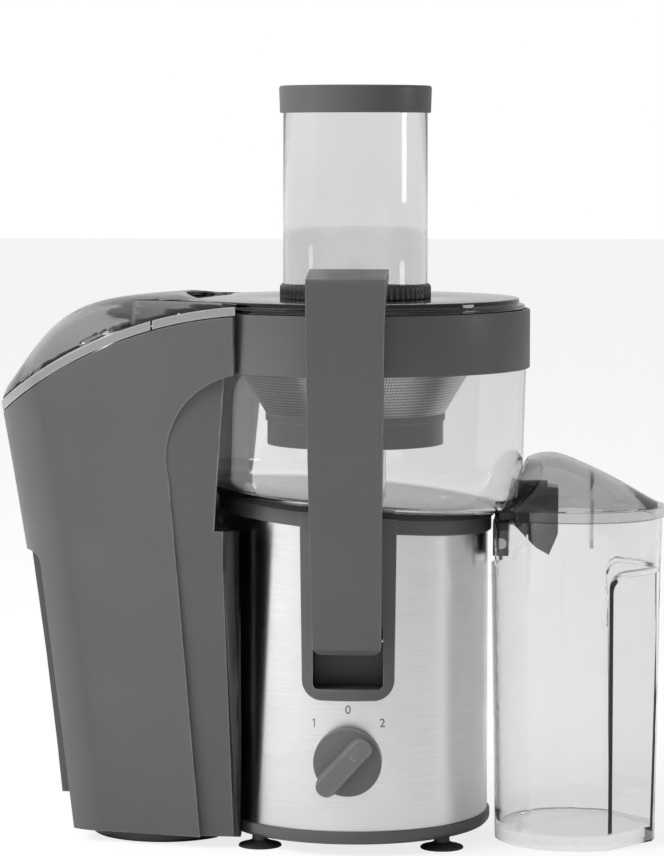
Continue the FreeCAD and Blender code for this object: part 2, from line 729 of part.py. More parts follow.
def fin_gap(grow):
    """Front and back hollows that leave the grip fin standing at the bin's outer end."""
    top = fin_top
    return prism_xz(
        (bin_x - 134, -20),
        [
            (bin_x - 45.5 + grow, -20),
            (bin_x - 64.8 + grow, top - fin_corner),
            ((bin_x - 67.2 + grow, top - fin_corner * 0.3), (bin_x - 73 + grow, top)),
            (bin_x - 134, top),
        ],
        -ROOM, ROOM)


def pulp_bin():
    """Bin with its rim bands, its grip fin and the foot that it stands on."""
    outer = bin_loft(0, bin_low)
    inner = bin_loft(bin_wall, bin_low + bin_floor)
    keep_fin = block(-ROOM, 0, -fin_half, fin_half, fin_low, ROOM)
    gap = fin_gap(0).cut(keep_fin)
    body = outer.cut(nest(0)).cut(waist_cutter(0)).cut(gap)
    cavity = inner.cut(nest(bin_wall)).cut(waist_cutter(bin_wall)).cut(
        fin_gap(bin_wall).fuse(fin_gap(bin_wall).translated(V(0, 0, bin_wall))))
    shell = body.cut(cavity)
    chute = block(bin_x - 14, 0, -chute_half, chute_half, chute_low, ROOM)
    shell = shell.cut(chute)
    band = shell.common(under_rim(0)).cut(under_rim(band_h - band_gap))
    shell = shell.common(under_rim(band_h))
    left = band.common(block(-ROOM, bin_x - 0.5, -ROOM, ROOM, 0, ROOM))
    right = band.common(block(bin_x + 0.5, ROOM, -ROOM, ROOM, 0, ROOM))
    foot = cylinder(bin_foot_r, 0, bin_low, bin_foot_x, 0).cut(nest(1.5))
    foot = foot.cut(block(-ROOM, bin_foot_end, -ROOM, ROOM, -1, 50))
    return {"pulp_bin": shell, "bin_rim_outer": left, "bin_rim_inner": right, "bin_foot": foot}


# ---- lid, hood and feed tube --------------------------------------------------------------
def rim_height(x):
    """Height of the bin's rim at x."""
    return rim_arc_z + math.sqrt(rim_arc_r ** 2 - (x - rim_arc_x) ** 2)


def domed(stations, drop, skirt=0.0):
    """Closed dome lofted through (x, half width, edge height, crown height) stations."""
    sections = []
    for x, half, edge, crown in stations:
        steps = [((0, crown - drop), (half - drop, edge))]
        if skirt:
            steps += [(half - drop, edge - skirt), (-half + drop, edge - skirt)]
        sections.append(outline((-half + drop, edge), steps, at_x(x)))
    return Part.makeLoft(sections, True, False)


def hood_stations():
    """Where the pulp hood runs: over the bin, from its outer end to the round lid."""
    crowns = ((-86.0, 38.0, -47.0), (-77.0, 47.0, -34.0), (-62.0, 54.0, -16.0), (-42.0, 60.0, -4.0),
              (-19.0, 65.0, 1.0), (11.0, 71.0, 3.5), (46.0, 77.0, 4.5))
    return [(bin_x + x, half, rim_height(bin_x + x) + FREE, lid_top + crown) for x, half, crown in crowns]


def hood_hollow(wall):
    """Space inside the hood under a wall of this thickness, carried down past its open edge."""
    moved = [(x + (wall if index == 0 else 0), half, edge, crown)
             for index, (x, half, edge, crown) in enumerate(hood_stations())]
    return domed(moved, wall, hood_skirt)


def lid():
    """Round lid, feed tube with its rim and base ring, seal, hood and the hood's bridge."""
    tube_r = tube_bore_r + tube_wall
    under = collar_top + lid_seat
    plate = turned([
        (tube_r + SEAT, lid_top - lid_plate_h), (tube_r + SEAT, lid_top), (lid_r, lid_top),
        (lid_r, lid_top - lid_step), (lid_flange_r, lid_top - lid_step - 0.5), (lid_flange_r, under),
        (lid_r - 2, under), (lid_r - 2, lid_top - lid_plate_h),
    ])
    feed = tube(tube_r, tube_bore_r, tube_low, tube_top - 5)
    rim = tube(tube_rim_r, tube_bore_r, tube_top - tube_rim_h, tube_top)
    rim = rim.cut(cylinder(tube_r + SEAT, 0, tube_top - 5 + SEAT))
    ring = tube(tube_collar_r, tube_r + SEAT, lid_top, lid_top + tube_collar_h)
    seal = tube(lid_r - 0.2, lid_r - 2.2, under - 5, under)
    seal = seal.cut(block(-ROOM, -60, -chute_half - 2, chute_half + 2, 0, ROOM))
    stations = hood_stations()
    hood = domed(stations, 0).cut(hood_hollow(hood_wall))
    hood = hood.cut(cylinder(lid_flange_r + SEAT, 0, ROOM))
    bridge = prism_xz(
        (bin_x - 12, lid_top - 4.5),
        [(bin_x + 44, lid_top - 1.5), (bin_x + 44, lid_top + 0.3), (bin_x - 12, lid_top - 2.7)],
        -chute_half - 8, chute_half + 8)
    bridge = bridge.cut(cylinder(lid_flange_r + SEAT, 0, ROOM)).common(hood_hollow(hood_wall + SEAT))
    return {
        "lid_plate": plate, "feed_tube": feed, "tube_rim": rim, "tube_collar": ring,
        "lid_seal": seal, "pulp_hood": hood, "hood_bridge": bridge,
    }


# ---- jug ----------------------------------------------------------------------------------
def jug_outline(half_x, half_y, z):
    """Plan of the jug: four bowed sides that meet in creases."""
    crease_x = 0.58 * half_x
    crease_y = 0.83 * half_y
    place = at_z(z)
    return outline(
        (jug_x - crease_x, jug_y - crease_y),
        [
            ((jug_x, jug_y - half_y), (jug_x + crease_x, jug_y - crease_y)),
            ((jug_x + half_x, jug_y), (jug_x + crease_x, jug_y + crease_y)),
            ((jug_x, jug_y + half_y), (jug_x - crease_x, jug_y + crease_y)),
            ((jug_x - half_x, jug_y), (jug_x - crease_x, jug_y - crease_y)),
        ],
        place)


def grip_cutter(inset):
    """Facets cut from the jug's outer front and back, leaving a grip at its end."""
    mid = grip_corner * (1 - math.sqrt(0.5))
    front_view = prism_xz(
        (jug_x + grip_x - inset, -10),
        [
            (jug_x + grip_x - inset, grip_top - grip_corner + inset),
            ((jug_x + grip_x - inset + mid, grip_top - mid + inset),
             (jug_x + grip_x - inset + grip_corner, grip_top + inset)),
            (ROOM, grip_top + 4 + inset),
            (ROOM, -10),
        ],
        -ROOM, ROOM)
    both = []
    for side in (-1, 1):
        plan = prism_xy(
            (jug_x + grip_x - inset, jug_y + side * ROOM),
            [
                (jug_x + grip_x - inset, jug_y + side * (jug_half_y - 8.5 - inset * 0.4)),
                (jug_x + jug_half_x - 3 - inset * 0.5, jug_y + side * (grip_fin - inset)),
                (ROOM, jug_y + side * (grip_fin - inset)),
                (ROOM, jug_y + side * ROOM),
            ],
            -10, 250)
        both.append(plan.common(front_view))
    return both[0].fuse(both[1])


def jug():
    """Clear jug, its lid with the froth separator, both open at the left for the spout."""
    low_x = jug_half_x - jug_taper
    low_y = jug_half_y - jug_taper
    body = Part.makeLoft([jug_outline(low_x, low_y, 0), jug_outline(jug_half_x, jug_half_y, jug_top)],
                         True, True)
    cavity = Part.makeLoft([
        jug_outline(low_x - jug_wall, low_y - jug_wall, jug_floor),
        jug_outline(jug_half_x - jug_wall, jug_half_y - jug_wall, jug_top + 0.5),
    ], True, True)
    body = body.cut(grip_cutter(0))
    cavity = cavity.cut(grip_cutter(jug_wall))
    slot = block(0, jug_x, spout_y - jug_slot_half, spout_y + jug_slot_half, jug_slot_low, ROOM)
    body = body.cut(cavity).cut(slot)

    brim_low = jug_top + FREE
    outer_x = jug_half_x + brim_out
    outer_y = jug_half_y + brim_out
    brim = Part.Face(jug_outline(outer_x, outer_y, brim_low)).extrude(V(0, 0, brim_h))
    hole = Part.Face(jug_outline(outer_x - 6, outer_y - 6, brim_low - 1)).extrude(V(0, 0, brim_h + 2))
    brim = brim.cut(hole)
    edge = brim_low + brim_h
    crowns = ((-43.0, 42.0, 20.0), (-33.0, 45.5, 28.5), (-17.0, 46.5, 35.0), (1.0, 45.0, 30.5),
              (23.0, 38.0, 20.0), (37.0, 27.0, 12.0), (44.5, 14.0, 8.0))
    dome = domed([(jug_x + x, half, edge, jug_top + crown) for x, half, crown in crowns], 0)
    hollows = [domed([(jug_x + x, half, edge - 0.01, jug_top + crown) for x, half, crown in crowns], wall)
               for wall in (jug_lid_wall, jug_lid_wall + SEAT)]
    for shape in [dome] + hollows:
        shape.translate(V(0, jug_y, 0))
    bowl_room = cylinder(bowl_r_top + 2 * FREE, 0, ROOM)
    cover = dome.cut(hollows[0]).fuse(brim).cut(bowl_room)
    arch = rod_x(jug_slot_half, spout_y, spout_z + 1, 0, jug_x - 18).fuse(
        block(0, jug_x - 18, spout_y - jug_slot_half, spout_y + jug_slot_half, 0, spout_z + 1))
    cover = cover.cut(arch)
    plate = block(separator_x, separator_x + 2, jug_y - 36, jug_y + 36, 165, ROOM).common(hollows[1])
    tongue = block(separator_x, separator_x + 2, jug_y - 30, jug_y + 30, 165, edge + 1)
    plate = plate.fuse(tongue)
    return {"juice_jug": body, "jug_lid": cover, "froth_separator": plate}


# ---- build --------------------------------------------------------------------------------
def build():
    nodes = {}
    for group in (motor_base, motor, rotor, bowl_parts, basket, arm, knob, pulp_bin, lid, jug):
        made = group()
        for name, shape in made.items():
            nodes[name] = shape
    boxes = [shape.optimalBoundingBox(True, False) for shape in nodes.values()]
    middle_x = (min(b.XMin for b in boxes) + max(b.XMax for b in boxes)) / 2
    middle_y = (min(b.YMin for b in boxes) + max(b.YMax for b in boxes)) / 2
    low_z = min(b.ZMin for b in boxes)
    move = V(-middle_x, -middle_y, -low_z)
    os.makedirs("parts", exist_ok=True)
    for name, shape in sorted(nodes.items()):
        shape.translate(move)
        shape.exportStep(os.path.join("parts", name + ".step"))
        box = shape.BoundBox
        print(f"{name:22s} solids {len(shape.Solids)} volume {shape.Volume / 1000:8.2f} cm3 "
              f"valid {shape.isValid()} x {box.XMin:.1f}..{box.XMax:.1f} y {box.YMin:.1f}..{box.YMax:.1f} "
              f"z {box.ZMin:.1f}..{box.ZMax:.1f}")
    print(f"{len(nodes)} nodes, moved by {move.x:.3f} {move.y:.3f} {move.z:.3f}")


build()
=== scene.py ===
"""Centrifugal juicer: finishes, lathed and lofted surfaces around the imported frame."""

import logging
import math
from dataclasses import dataclass, field
from enum import Enum

import bmesh
import bpy
import numpy as np
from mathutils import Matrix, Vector


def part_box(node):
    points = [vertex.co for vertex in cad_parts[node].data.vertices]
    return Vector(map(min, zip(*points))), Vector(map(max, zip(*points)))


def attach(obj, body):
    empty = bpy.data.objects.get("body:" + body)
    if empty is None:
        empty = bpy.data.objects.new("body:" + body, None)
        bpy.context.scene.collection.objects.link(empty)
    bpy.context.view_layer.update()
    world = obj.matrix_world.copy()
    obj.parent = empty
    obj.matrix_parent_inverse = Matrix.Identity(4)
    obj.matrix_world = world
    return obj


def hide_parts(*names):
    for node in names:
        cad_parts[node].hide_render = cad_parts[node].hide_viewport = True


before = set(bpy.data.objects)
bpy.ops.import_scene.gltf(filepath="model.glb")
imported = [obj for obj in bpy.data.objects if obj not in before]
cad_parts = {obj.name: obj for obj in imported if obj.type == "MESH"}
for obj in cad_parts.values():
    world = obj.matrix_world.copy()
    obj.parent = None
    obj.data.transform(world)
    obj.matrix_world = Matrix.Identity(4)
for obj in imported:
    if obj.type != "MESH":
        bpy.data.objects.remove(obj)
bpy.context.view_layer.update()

log = logging.getLogger("juicer")

MM = 0.001
FULL_TURN = 2.0 * math.pi
PRISM_ENDS = (-200.0, 200.0)
MERGE_DISTANCE = 2e-6
FLAT_DEG = 0.8


class Slot(str, Enum):
    """Material slots of the record, passed along with the new pieces."""

    GREY = "grey_plastic"
    DARK = "dark_plastic"
    RUBBER = "black_rubber"
    CLEAR = "clear_plastic"
    SMOKE = "smoke_plastic"


class Body(str, Enum):
    """Bodies of the frame that the new pieces ride on."""

    BASE = "base"
    ARM = "arm"
    KNOB = "knob"
    LID = "lid"
    BIN = "bin"


class Keep(str, Enum):
    """Which side of a prism a carved solid keeps."""

    INSIDE = "INTERSECT"
    OUTSIDE = "DIFFERENCE"


# ---- places read from the frame -----------------------------------------------------------
def motor_axis() -> np.ndarray:
    """Plan position of the motor axis in metres, the middle of the motor shaft's box.

    Returns:
        Array (x, y, 0) in the row frame.
    """
    low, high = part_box("motor_shaft")
    return np.array([(low.x + high.x) / 2, (low.y + high.y) / 2, 0.0])


AXIS = motor_axis()


@dataclass(frozen=True)
class Extent:
    """Corners of a CAD node in millimetres, measured from the motor axis."""

    low: np.ndarray
    high: np.ndarray

    @classmethod
    def of(cls, node: str) -> "Extent":
        """Reads a node's box from the frame.

        Args:
            node: Name of the CAD node.

        Returns:
            The node's extent about the motor axis.
        """
        low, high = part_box(node)
        return cls((np.array(low) - AXIS) / MM, (np.array(high) - AXIS) / MM)

    @property
    def middle(self) -> np.ndarray:
        """Centre of the box."""
        return (self.low + self.high) / 2

    @property
    def radius(self) -> float:
        """Half of the box's depth, the radius of a round node."""
        return float(self.high[1] - self.low[1]) / 2


# ---- surfaces -----------------------------------------------------------------------------
def grid_quads(rows: int, cols: int, wrap_rows: bool, wrap_cols: bool) -> np.ndarray:
    """Quads that join the points of a grid to their neighbours.

    Args:
        rows: Number of rings.
        cols: Number of points on a ring.
        wrap_rows: Whether the last ring joins the first.
        wrap_cols: Whether the last point of a ring joins its first.

    Returns:
        Integer array (quads, 4).
    """
    row = np.arange(rows if wrap_rows else rows - 1)
    col = np.arange(cols if wrap_cols else cols - 1)
    i, j = np.meshgrid(row, col, indexing="ij")
    i_next, j_next = (i + 1) % rows, (j + 1) % cols
    quads = np.stack([i * cols + j, i * cols + j_next, i_next * cols + j_next, i_next * cols + j], -1)
    return quads.reshape(-1, 4)


def rounded(points: list[tuple[float, float]], radii: float | list[float], steps: int = 4) -> np.ndarray:
    """Closed outline with its corners rounded.

    Each corner C between neighbours P and N is replaced by a quadratic Bezier curve from
    C + (P - C) t to C + (N - C) t with C as its control point, where t is the radius, or
    0.45 of the shorter side if that is less.

    Args:
        points: Corners of the outline, in order.
        radii: One radius for all corners, or one for each.
        steps: Points on each rounded corner, less one.

    Returns:
        Array (corners * (steps + 1), 2).
    """
    corner = np.array(points, float)
    before, after = np.roll(corner, 1, 0) - corner, np.roll(corner, -1, 0) - corner
    len_before = np.linalg.norm(before, axis=1, keepdims=True)
    len_after = np.linalg.norm(after, axis=1, keepdims=True)
    radius = np.broadcast_to(np.array(radii, float).reshape(-1, 1), len_before.shape)
    reach = np.minimum(radius, 0.45 * np.minimum(len_before, len_after))
    start = corner + before / len_before * reach
    end = corner + after / len_after * reach
    s = np.linspace(0.0, 1.0, steps + 1).reshape(1, -1, 1)
    curve = (1 - s) ** 2 * start[:, None] + 2 * s * (1 - s) * corner[:, None] + s ** 2 * end[:, None]
    return curve.reshape(-1, 2)


def lathe(profile: np.ndarray, centre: np.ndarray, segments: int) -> np.ndarray:
    """Closed profile turned about an upright axis.

    The point at angle a of profile point (r, z) is (r cos a, r sin a, z) from the centre.

    Args:
        profile: Array (points, 2) of radius and height, in millimetres.
        centre: Plan position of the axis, in millimetres.
        segments: Points round the turn.

    Returns:
        Array (segments, points, 3).
    """
    angle = np.linspace(0.0, FULL_TURN, segments, endpoint=False)[:, None]
    radius, height = profile[None, :, 0], profile[None, :, 1]
    x = centre[0] + radius * np.cos(angle)
    y = centre[1] + radius * np.sin(angle)
    return np.stack([x, y, np.broadcast_to(height, x.shape)], -1)


def mesh_object(name: str, points: np.ndarray, faces: list, sharp_deg: float = 35.0) -> bpy.types.Object:
    """Mesh object at the origin from points in millimetres about the motor axis.

    Args:
        name: Name of the object.
        points: Array (points, 3).
        faces: Index lists of the faces.
        sharp_deg: Edges that turn more than this stay sharp.

    Returns:
        The object, linked to the scene, its faces pointing outwards.
    """
    mesh = bpy.data.meshes.new(name)
    mesh.from_pydata((points * MM + AXIS).tolist(), [], faces)
    work = bmesh.new()
    work.from_mesh(mesh)
    bmesh.ops.remove_doubles(work, verts=work.verts, dist=1e-7)
    bmesh.ops.recalc_face_normals(work, faces=work.faces)
    work.to_mesh(mesh)
    work.free()
    mesh.polygons.foreach_set("use_smooth", np.ones(len(mesh.polygons), bool))
    mesh.set_sharp_from_angle(angle=math.radians(sharp_deg))
    obj = bpy.data.objects.new(name, mesh)
    bpy.context.scene.collection.objects.link(obj)
    return obj


def ring_solid(name: str, rings: np.ndarray, wrap: bool = True, capped: bool = False,
               sharp_deg: float = 35.0) -> bpy.types.Object:
    """Closed surface through rings of points.

    Args:
        name: Name of the object.
        rings: Array (rings, points, 3), in millimetres about the motor axis.
        wrap: Whether the last ring joins the first.
        capped: Whether flat faces close the first and last rings.
        sharp_deg: Edges that turn more than this stay sharp.

    Returns:
        The mesh object.
    """
    rows, cols = rings.shape[:2]
    faces = grid_quads(rows, cols, wrap, True).tolist()
    if capped:
        faces.append(list(range(cols)))
        faces.append(list(range((rows - 1) * cols, rows * cols)))
    return mesh_object(name, rings.reshape(-1, 3), faces, sharp_deg)


def turned(name: str, points: list[tuple[float, float]], radii: float | list[float],
           centre: np.ndarray | None = None, segments: int = 192, steps: int = 4) -> bpy.types.Object:
    """Solid turned from an outline of (radius, height) corners with round edges.

    Args:
        name: Name of the object.
        points: Corners of the outline.
        radii: Corner radii.
        centre: Plan position of the axis, the motor axis if none is given.
        segments: Points round the turn.
        steps: Points on each corner, less one.

    Returns:
        The mesh object.
    """
    place = np.zeros(2) if centre is None else np.asarray(centre, float)
    return ring_solid(name, lathe(rounded(points, radii, steps), place, segments))


def softened(name: str, node: str, width: float, segments: int = 3,
             angle_deg: float = 28.0) -> bpy.types.Object:
    """Copy of a CAD node whose loose triangles are merged and whose edges are rounded.

    Args:
        name: Name of the object.
        node: CAD node that is copied.
        width: Width of the rounding, in millimetres.
        segments: Faces across the rounding.
        angle_deg: Edges that turn more than this are rounded.

    Returns:
        The mesh object, with a live Bevel modifier.
    """
    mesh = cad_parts[node].data.copy()
    mesh.name = name
    for attribute in [a for a in mesh.attributes if a.name in ("custom_normal", "sharp_edge", "sharp_face")]:
        mesh.attributes.remove(attribute)
    work = bmesh.new()
    work.from_mesh(mesh)
    bmesh.ops.remove_doubles(work, verts=work.verts, dist=MERGE_DISTANCE)
    bmesh.ops.dissolve_limit(work, angle_limit=math.radians(FLAT_DEG), verts=work.verts, edges=work.edges)
    work.to_mesh(mesh)
    work.free()
    mesh.polygons.foreach_set("use_smooth", np.ones(len(mesh.polygons), bool))
    obj = bpy.data.objects.new(name, mesh)
    bpy.context.scene.collection.objects.link(obj)
    return round_edges(obj, width, segments, angle_deg) if width else obj


def carved(obj: bpy.types.Object, name: str, outline: list[tuple[float, float]],
           keep: Keep) -> bpy.types.Object:
    """Solid cut by a prism that runs the whole depth of the object.

    Args:
        obj: Solid without modifiers, left as it is.
        name: Name of the new object.
        outline: Corners (x, z) of the prism, in millimetres about the motor axis.
        keep: Side of the prism that is kept.

    Returns:
        The new object, with its mesh applied.
    """
    flat = np.array(outline, float)
    rings = np.stack([np.stack([flat[:, 0], np.full(len(flat), y), flat[:, 1]], -1) for y in PRISM_ENDS])
    prism = ring_solid("prism", rings, wrap=False, capped=True)
    made = bpy.data.objects.new(name, obj.data.copy())
    bpy.context.scene.collection.objects.link(made)
    cut = made.modifiers.new("Cut", "BOOLEAN")
    cut.operation = keep.value
    cut.object = prism
    cut.solver = "EXACT"
    bpy.context.view_layer.update()
    mesh = bpy.data.meshes.new_from_object(made.evaluated_get(bpy.context.evaluated_depsgraph_get()))
    made.modifiers.clear()
    made.data = mesh
    mesh.name = name
    bpy.data.objects.remove(prism)
    return made


def round_edges(obj: bpy.types.Object, width: float, segments: int = 3,
                angle_deg: float = 28.0) -> bpy.types.Object:
    """Gives an object a live Bevel modifier.

    Args:
        obj: The object.
        width: Width of the rounding, in millimetres.
        segments: Faces across the rounding.
        angle_deg: Edges that turn more than this are rounded.

    Returns:
        The object.
    """
    bevel = obj.modifiers.new("Round edges", "BEVEL")
    bevel.width = width * MM
    bevel.segments = segments
    bevel.limit_method = "ANGLE"
    bevel.angle_limit = math.radians(angle_deg)
    bevel.harden_normals = True
    bevel.use_clamp_overlap = True
    return obj


# ---- shader node groups -------------------------------------------------------------------
class Effect:
    """A shader node group that several finishes share, built once."""

    _built: dict[str, bpy.types.NodeTree] = {}

    def __init__(self, name: str) -> None:
        """Starts an empty group of this name."""
        self.tree = bpy.data.node_groups.new(name, "ShaderNodeTree")
        self.inputs = self.tree.nodes.new("NodeGroupInput")
        self.outputs = self.tree.nodes.new("NodeGroupOutput")
        Effect._built[name] = self.tree

    @classmethod
    def named(cls, name: str) -> bpy.types.NodeTree | None:
        """The group of this name, if it has been built."""
        return cls._built.get(name)

    def takes(self, name: str, value: float) -> bpy.types.NodeSocket:
        """Adds a number input.

        Args:
            name: Name of the socket.
            value: Its value where none is given.

        Returns:
            The socket inside the group.
        """
        socket = self.tree.interface.new_socket(name, in_out="INPUT", socket_type="NodeSocketFloat")
        socket.default_value = value
        return self.inputs.outputs[name]

    def gives(self, name: str, source: bpy.types.NodeSocket) -> None:
        """Adds a number output fed by source.

        Args:
            name: Name of the socket.
            source: Socket inside the group.
        """
        self.tree.interface.new_socket(name, in_out="OUTPUT", socket_type="NodeSocketFloat")
        self.tree.links.new(source, self.outputs.inputs[name])

    def node(self, kind: str, **settings: object) -> bpy.types.Node:
        """New node with the given settings."""
        made = self.tree.nodes.new(kind)
        for key, value in settings.items():
            setattr(made, key, value)
        return made

    def math(self, operation: str, *values: object) -> bpy.types.NodeSocket:
        """Math node of an operation on sockets or numbers.

        Args:
            operation: Name of the operation.
            values: Up to three sockets or numbers.

        Returns:
            The result's socket.
        """
        made = self.node("ShaderNodeMath", operation=operation)
        for socket, value in zip(made.inputs, values):
            if isinstance(value, (int, float)):
                socket.default_value = value
            else:
                self.tree.links.new(value, socket)
        return made.outputs[0]

    def place(self) -> bpy.types.NodeSocket:
        """Object coordinates."""
        return self.node("ShaderNodeTexCoord").outputs["Object"]

    def turn_and_height(self) -> tuple[bpy.types.NodeSocket, bpy.types.NodeSocket]:
        """Angle about the motor axis, arctan of x over y, and height.

        Returns:
            The sockets of the angle and of the height.
        """
        parts = self.node("ShaderNodeSeparateXYZ")
        self.tree.links.new(self.place(), parts.inputs[0])
        across = self.math("SUBTRACT", parts.outputs["X"], float(AXIS[0]))
        deep = self.math("SUBTRACT", parts.outputs["Y"], float(AXIS[1]))
        return self.math("ARCTAN2", across, deep), parts.outputs["Z"]

    def noise(self, vector: bpy.types.NodeSocket, scale: object, detail: float = 3.0,
              rough: float = 0.6) -> bpy.types.NodeSocket:
        """Noise texture's value at a vector.

        Args:
            vector: Where the noise is read.
            scale: Socket or number.
            detail: Octaves.
            rough: Roughness of the octaves.

        Returns:
            The value's socket.
        """
        made = self.node("ShaderNodeTexNoise")
        self.tree.links.new(vector, made.inputs["Vector"])
        if isinstance(scale, (int, float)):
            made.inputs["Scale"].default_value = scale
        else:
            self.tree.links.new(scale, made.inputs["Scale"])
        made.inputs["Detail"].default_value = detail
        made.inputs["Roughness"].default_value = rough
        return made.outputs["Fac"]

    def steps(self, value: bpy.types.NodeSocket, low: float, high: float) -> bpy.types.NodeSocket:
        """Value mapped smoothly from low..high to 0..1."""
        made = self.node("ShaderNodeMapRange", interpolation_type="SMOOTHSTEP")
        self.tree.links.new(value, made.inputs["Value"])
        made.inputs["From Min"].default_value = low
        made.inputs["From Max"].default_value = high
        return made.outputs["Result"]


def moulded_grain() -> bpy.types.NodeTree:
    """Fine pebbled grain of moulded plastic: Height from two noises, Patch for slow change.

    Returns:
        The node group.
    """
    found = Effect.named("Moulded grain")
    if found:
        return found
    fx = Effect("Moulded grain")
    scale = fx.takes("Scale", 2200.0)
    place = fx.place()
    fine = fx.noise(place, scale, 2.0, 0.5)
    coarse = fx.noise(place, fx.math("MULTIPLY", scale, 0.35), 2.0, 0.5)
    fx.gives("Height", fx.math("ADD", fx.math("MULTIPLY", fine, 0.6), fx.math("MULTIPLY", coarse, 0.4)))
    fx.gives("Patch", fx.noise(place, 14.0, 3.0, 0.55))
    return fx.tree


def edge_rubbing_and_highlight() -> bpy.types.NodeTree:
    """Mask of edges, lightened for rubbing and as a painted highlight: how far the rounded normal leans from
    the true one, broken by noise.

    Returns:
        The node group.
    """
    found = Effect.named("Edge rubbing and painted highlight")
    if found:
        return found
    fx = Effect("Edge rubbing and painted highlight")
    radius = fx.takes("Radius", 0.0012)
    amount = fx.takes("Amount", 0.5)
    bevel = fx.node("ShaderNodeBevel", samples=4)
    fx.tree.links.new(radius, bevel.inputs["Radius"])
    flat = fx.node("ShaderNodeNewGeometry")
    dot = fx.node("ShaderNodeVectorMath", operation="DOT_PRODUCT")
    fx.tree.links.new(bevel.outputs["Normal"], dot.inputs[0])
    fx.tree.links.new(flat.outputs["Normal"], dot.inputs[1])
    lean = fx.steps(fx.math("SUBTRACT", 1.0, dot.outputs["Value"]), 0.01, 0.25)
    patch = fx.steps(fx.noise(fx.place(), 90.0, 4.0, 0.6), 0.35, 0.62)
    # Edge mask: partly rubbing, partly a painted highlight along the edges.
    rubbing_and_highlight_mask = fx.math("MULTIPLY", fx.math("MULTIPLY", lean, fx.math("ADD", 0.4, patch)), amount)
    fx.gives("Mask", fx.math("MINIMUM", rubbing_and_highlight_mask, 1.0))
    return fx.tree


def brushed_lines() -> bpy.types.NodeTree:
    """Level brush lines round an upright drum: noise stretched far along the turn, fine up it.

    Returns:
        The node group.
    """
    found = Effect.named("Brushed lines")
    if found:
        return found
    fx = Effect("Brushed lines")
    pitch = fx.takes("Pitch", 5200.0)
    turn, height = fx.turn_and_height()
    joined = fx.node("ShaderNodeCombineXYZ")
    fx.tree.links.new(fx.math("MULTIPLY", turn, 0.0022), joined.inputs["X"])
    fx.tree.links.new(height, joined.inputs["Z"])
    fine = fx.noise(joined.outputs[0], pitch, 3.0, 0.7)
    wide = fx.noise(joined.outputs[0], fx.math("MULTIPLY", pitch, 0.22), 3.0, 0.6)
    fx.gives("Height", fx.math("ADD", fx.math("MULTIPLY", fine, 0.6), fx.math("MULTIPLY", wide, 0.4)))
    fx.gives("Streak", fx.steps(wide, 0.32, 0.68))
    return fx.tree


def perforation() -> bpy.types.NodeTree:
    """Fine holes of a sieve: cells over the turn and the height, dark near each cell's middle.

    Returns:
        The node group.
    """
    found = Effect.named("Perforation")
    if found:
        return found
    fx = Effect("Perforation")
    pitch = fx.takes("Pitch", 700.0)
    turn, height = fx.turn_and_height()
    joined = fx.node("ShaderNodeCombineXYZ")
    fx.tree.links.new(fx.math("MULTIPLY", turn, 0.063), joined.inputs["X"])
    fx.tree.links.new(height, joined.inputs["Y"])
    cells = fx.node("ShaderNodeTexVoronoi", voronoi_dimensions="2D")
    cells.inputs["Randomness"].default_value = 0.15
    fx.tree.links.new(joined.outputs[0], cells.inputs["Vector"])
    fx.tree.links.new(pitch, cells.inputs["Scale"])
    fx.gives("Hole", fx.math("SUBTRACT", 1.0, fx.steps(cells.outputs["Distance"], 0.22, 0.34)))
    return fx.tree


def handling_marks() -> bpy.types.NodeTree:
    """Slow smudges for Roughness and a light settling of dust on faces that look up.

    Returns:
        The node group.
    """
    found = Effect.named("Handling marks")
    if found:
        return found
    fx = Effect("Handling marks")
    amount = fx.takes("Dust", 0.2)
    place = fx.place()
    smudge = fx.steps(fx.noise(place, 32.0, 5.0, 0.62), 0.38, 0.72)
    parts = fx.node("ShaderNodeSeparateXYZ")
    fx.tree.links.new(fx.node("ShaderNodeNewGeometry").outputs["Normal"], parts.inputs[0])
    upward = fx.steps(parts.outputs["Z"], 0.55, 1.0)
    speck = fx.steps(fx.noise(place, 1500.0, 3.0, 0.7), 0.52, 0.78)
    fx.gives("Smudge", smudge)
    fx.gives("Dust", fx.math("MULTIPLY", fx.math("MULTIPLY", upward, speck), amount))
    return fx.tree


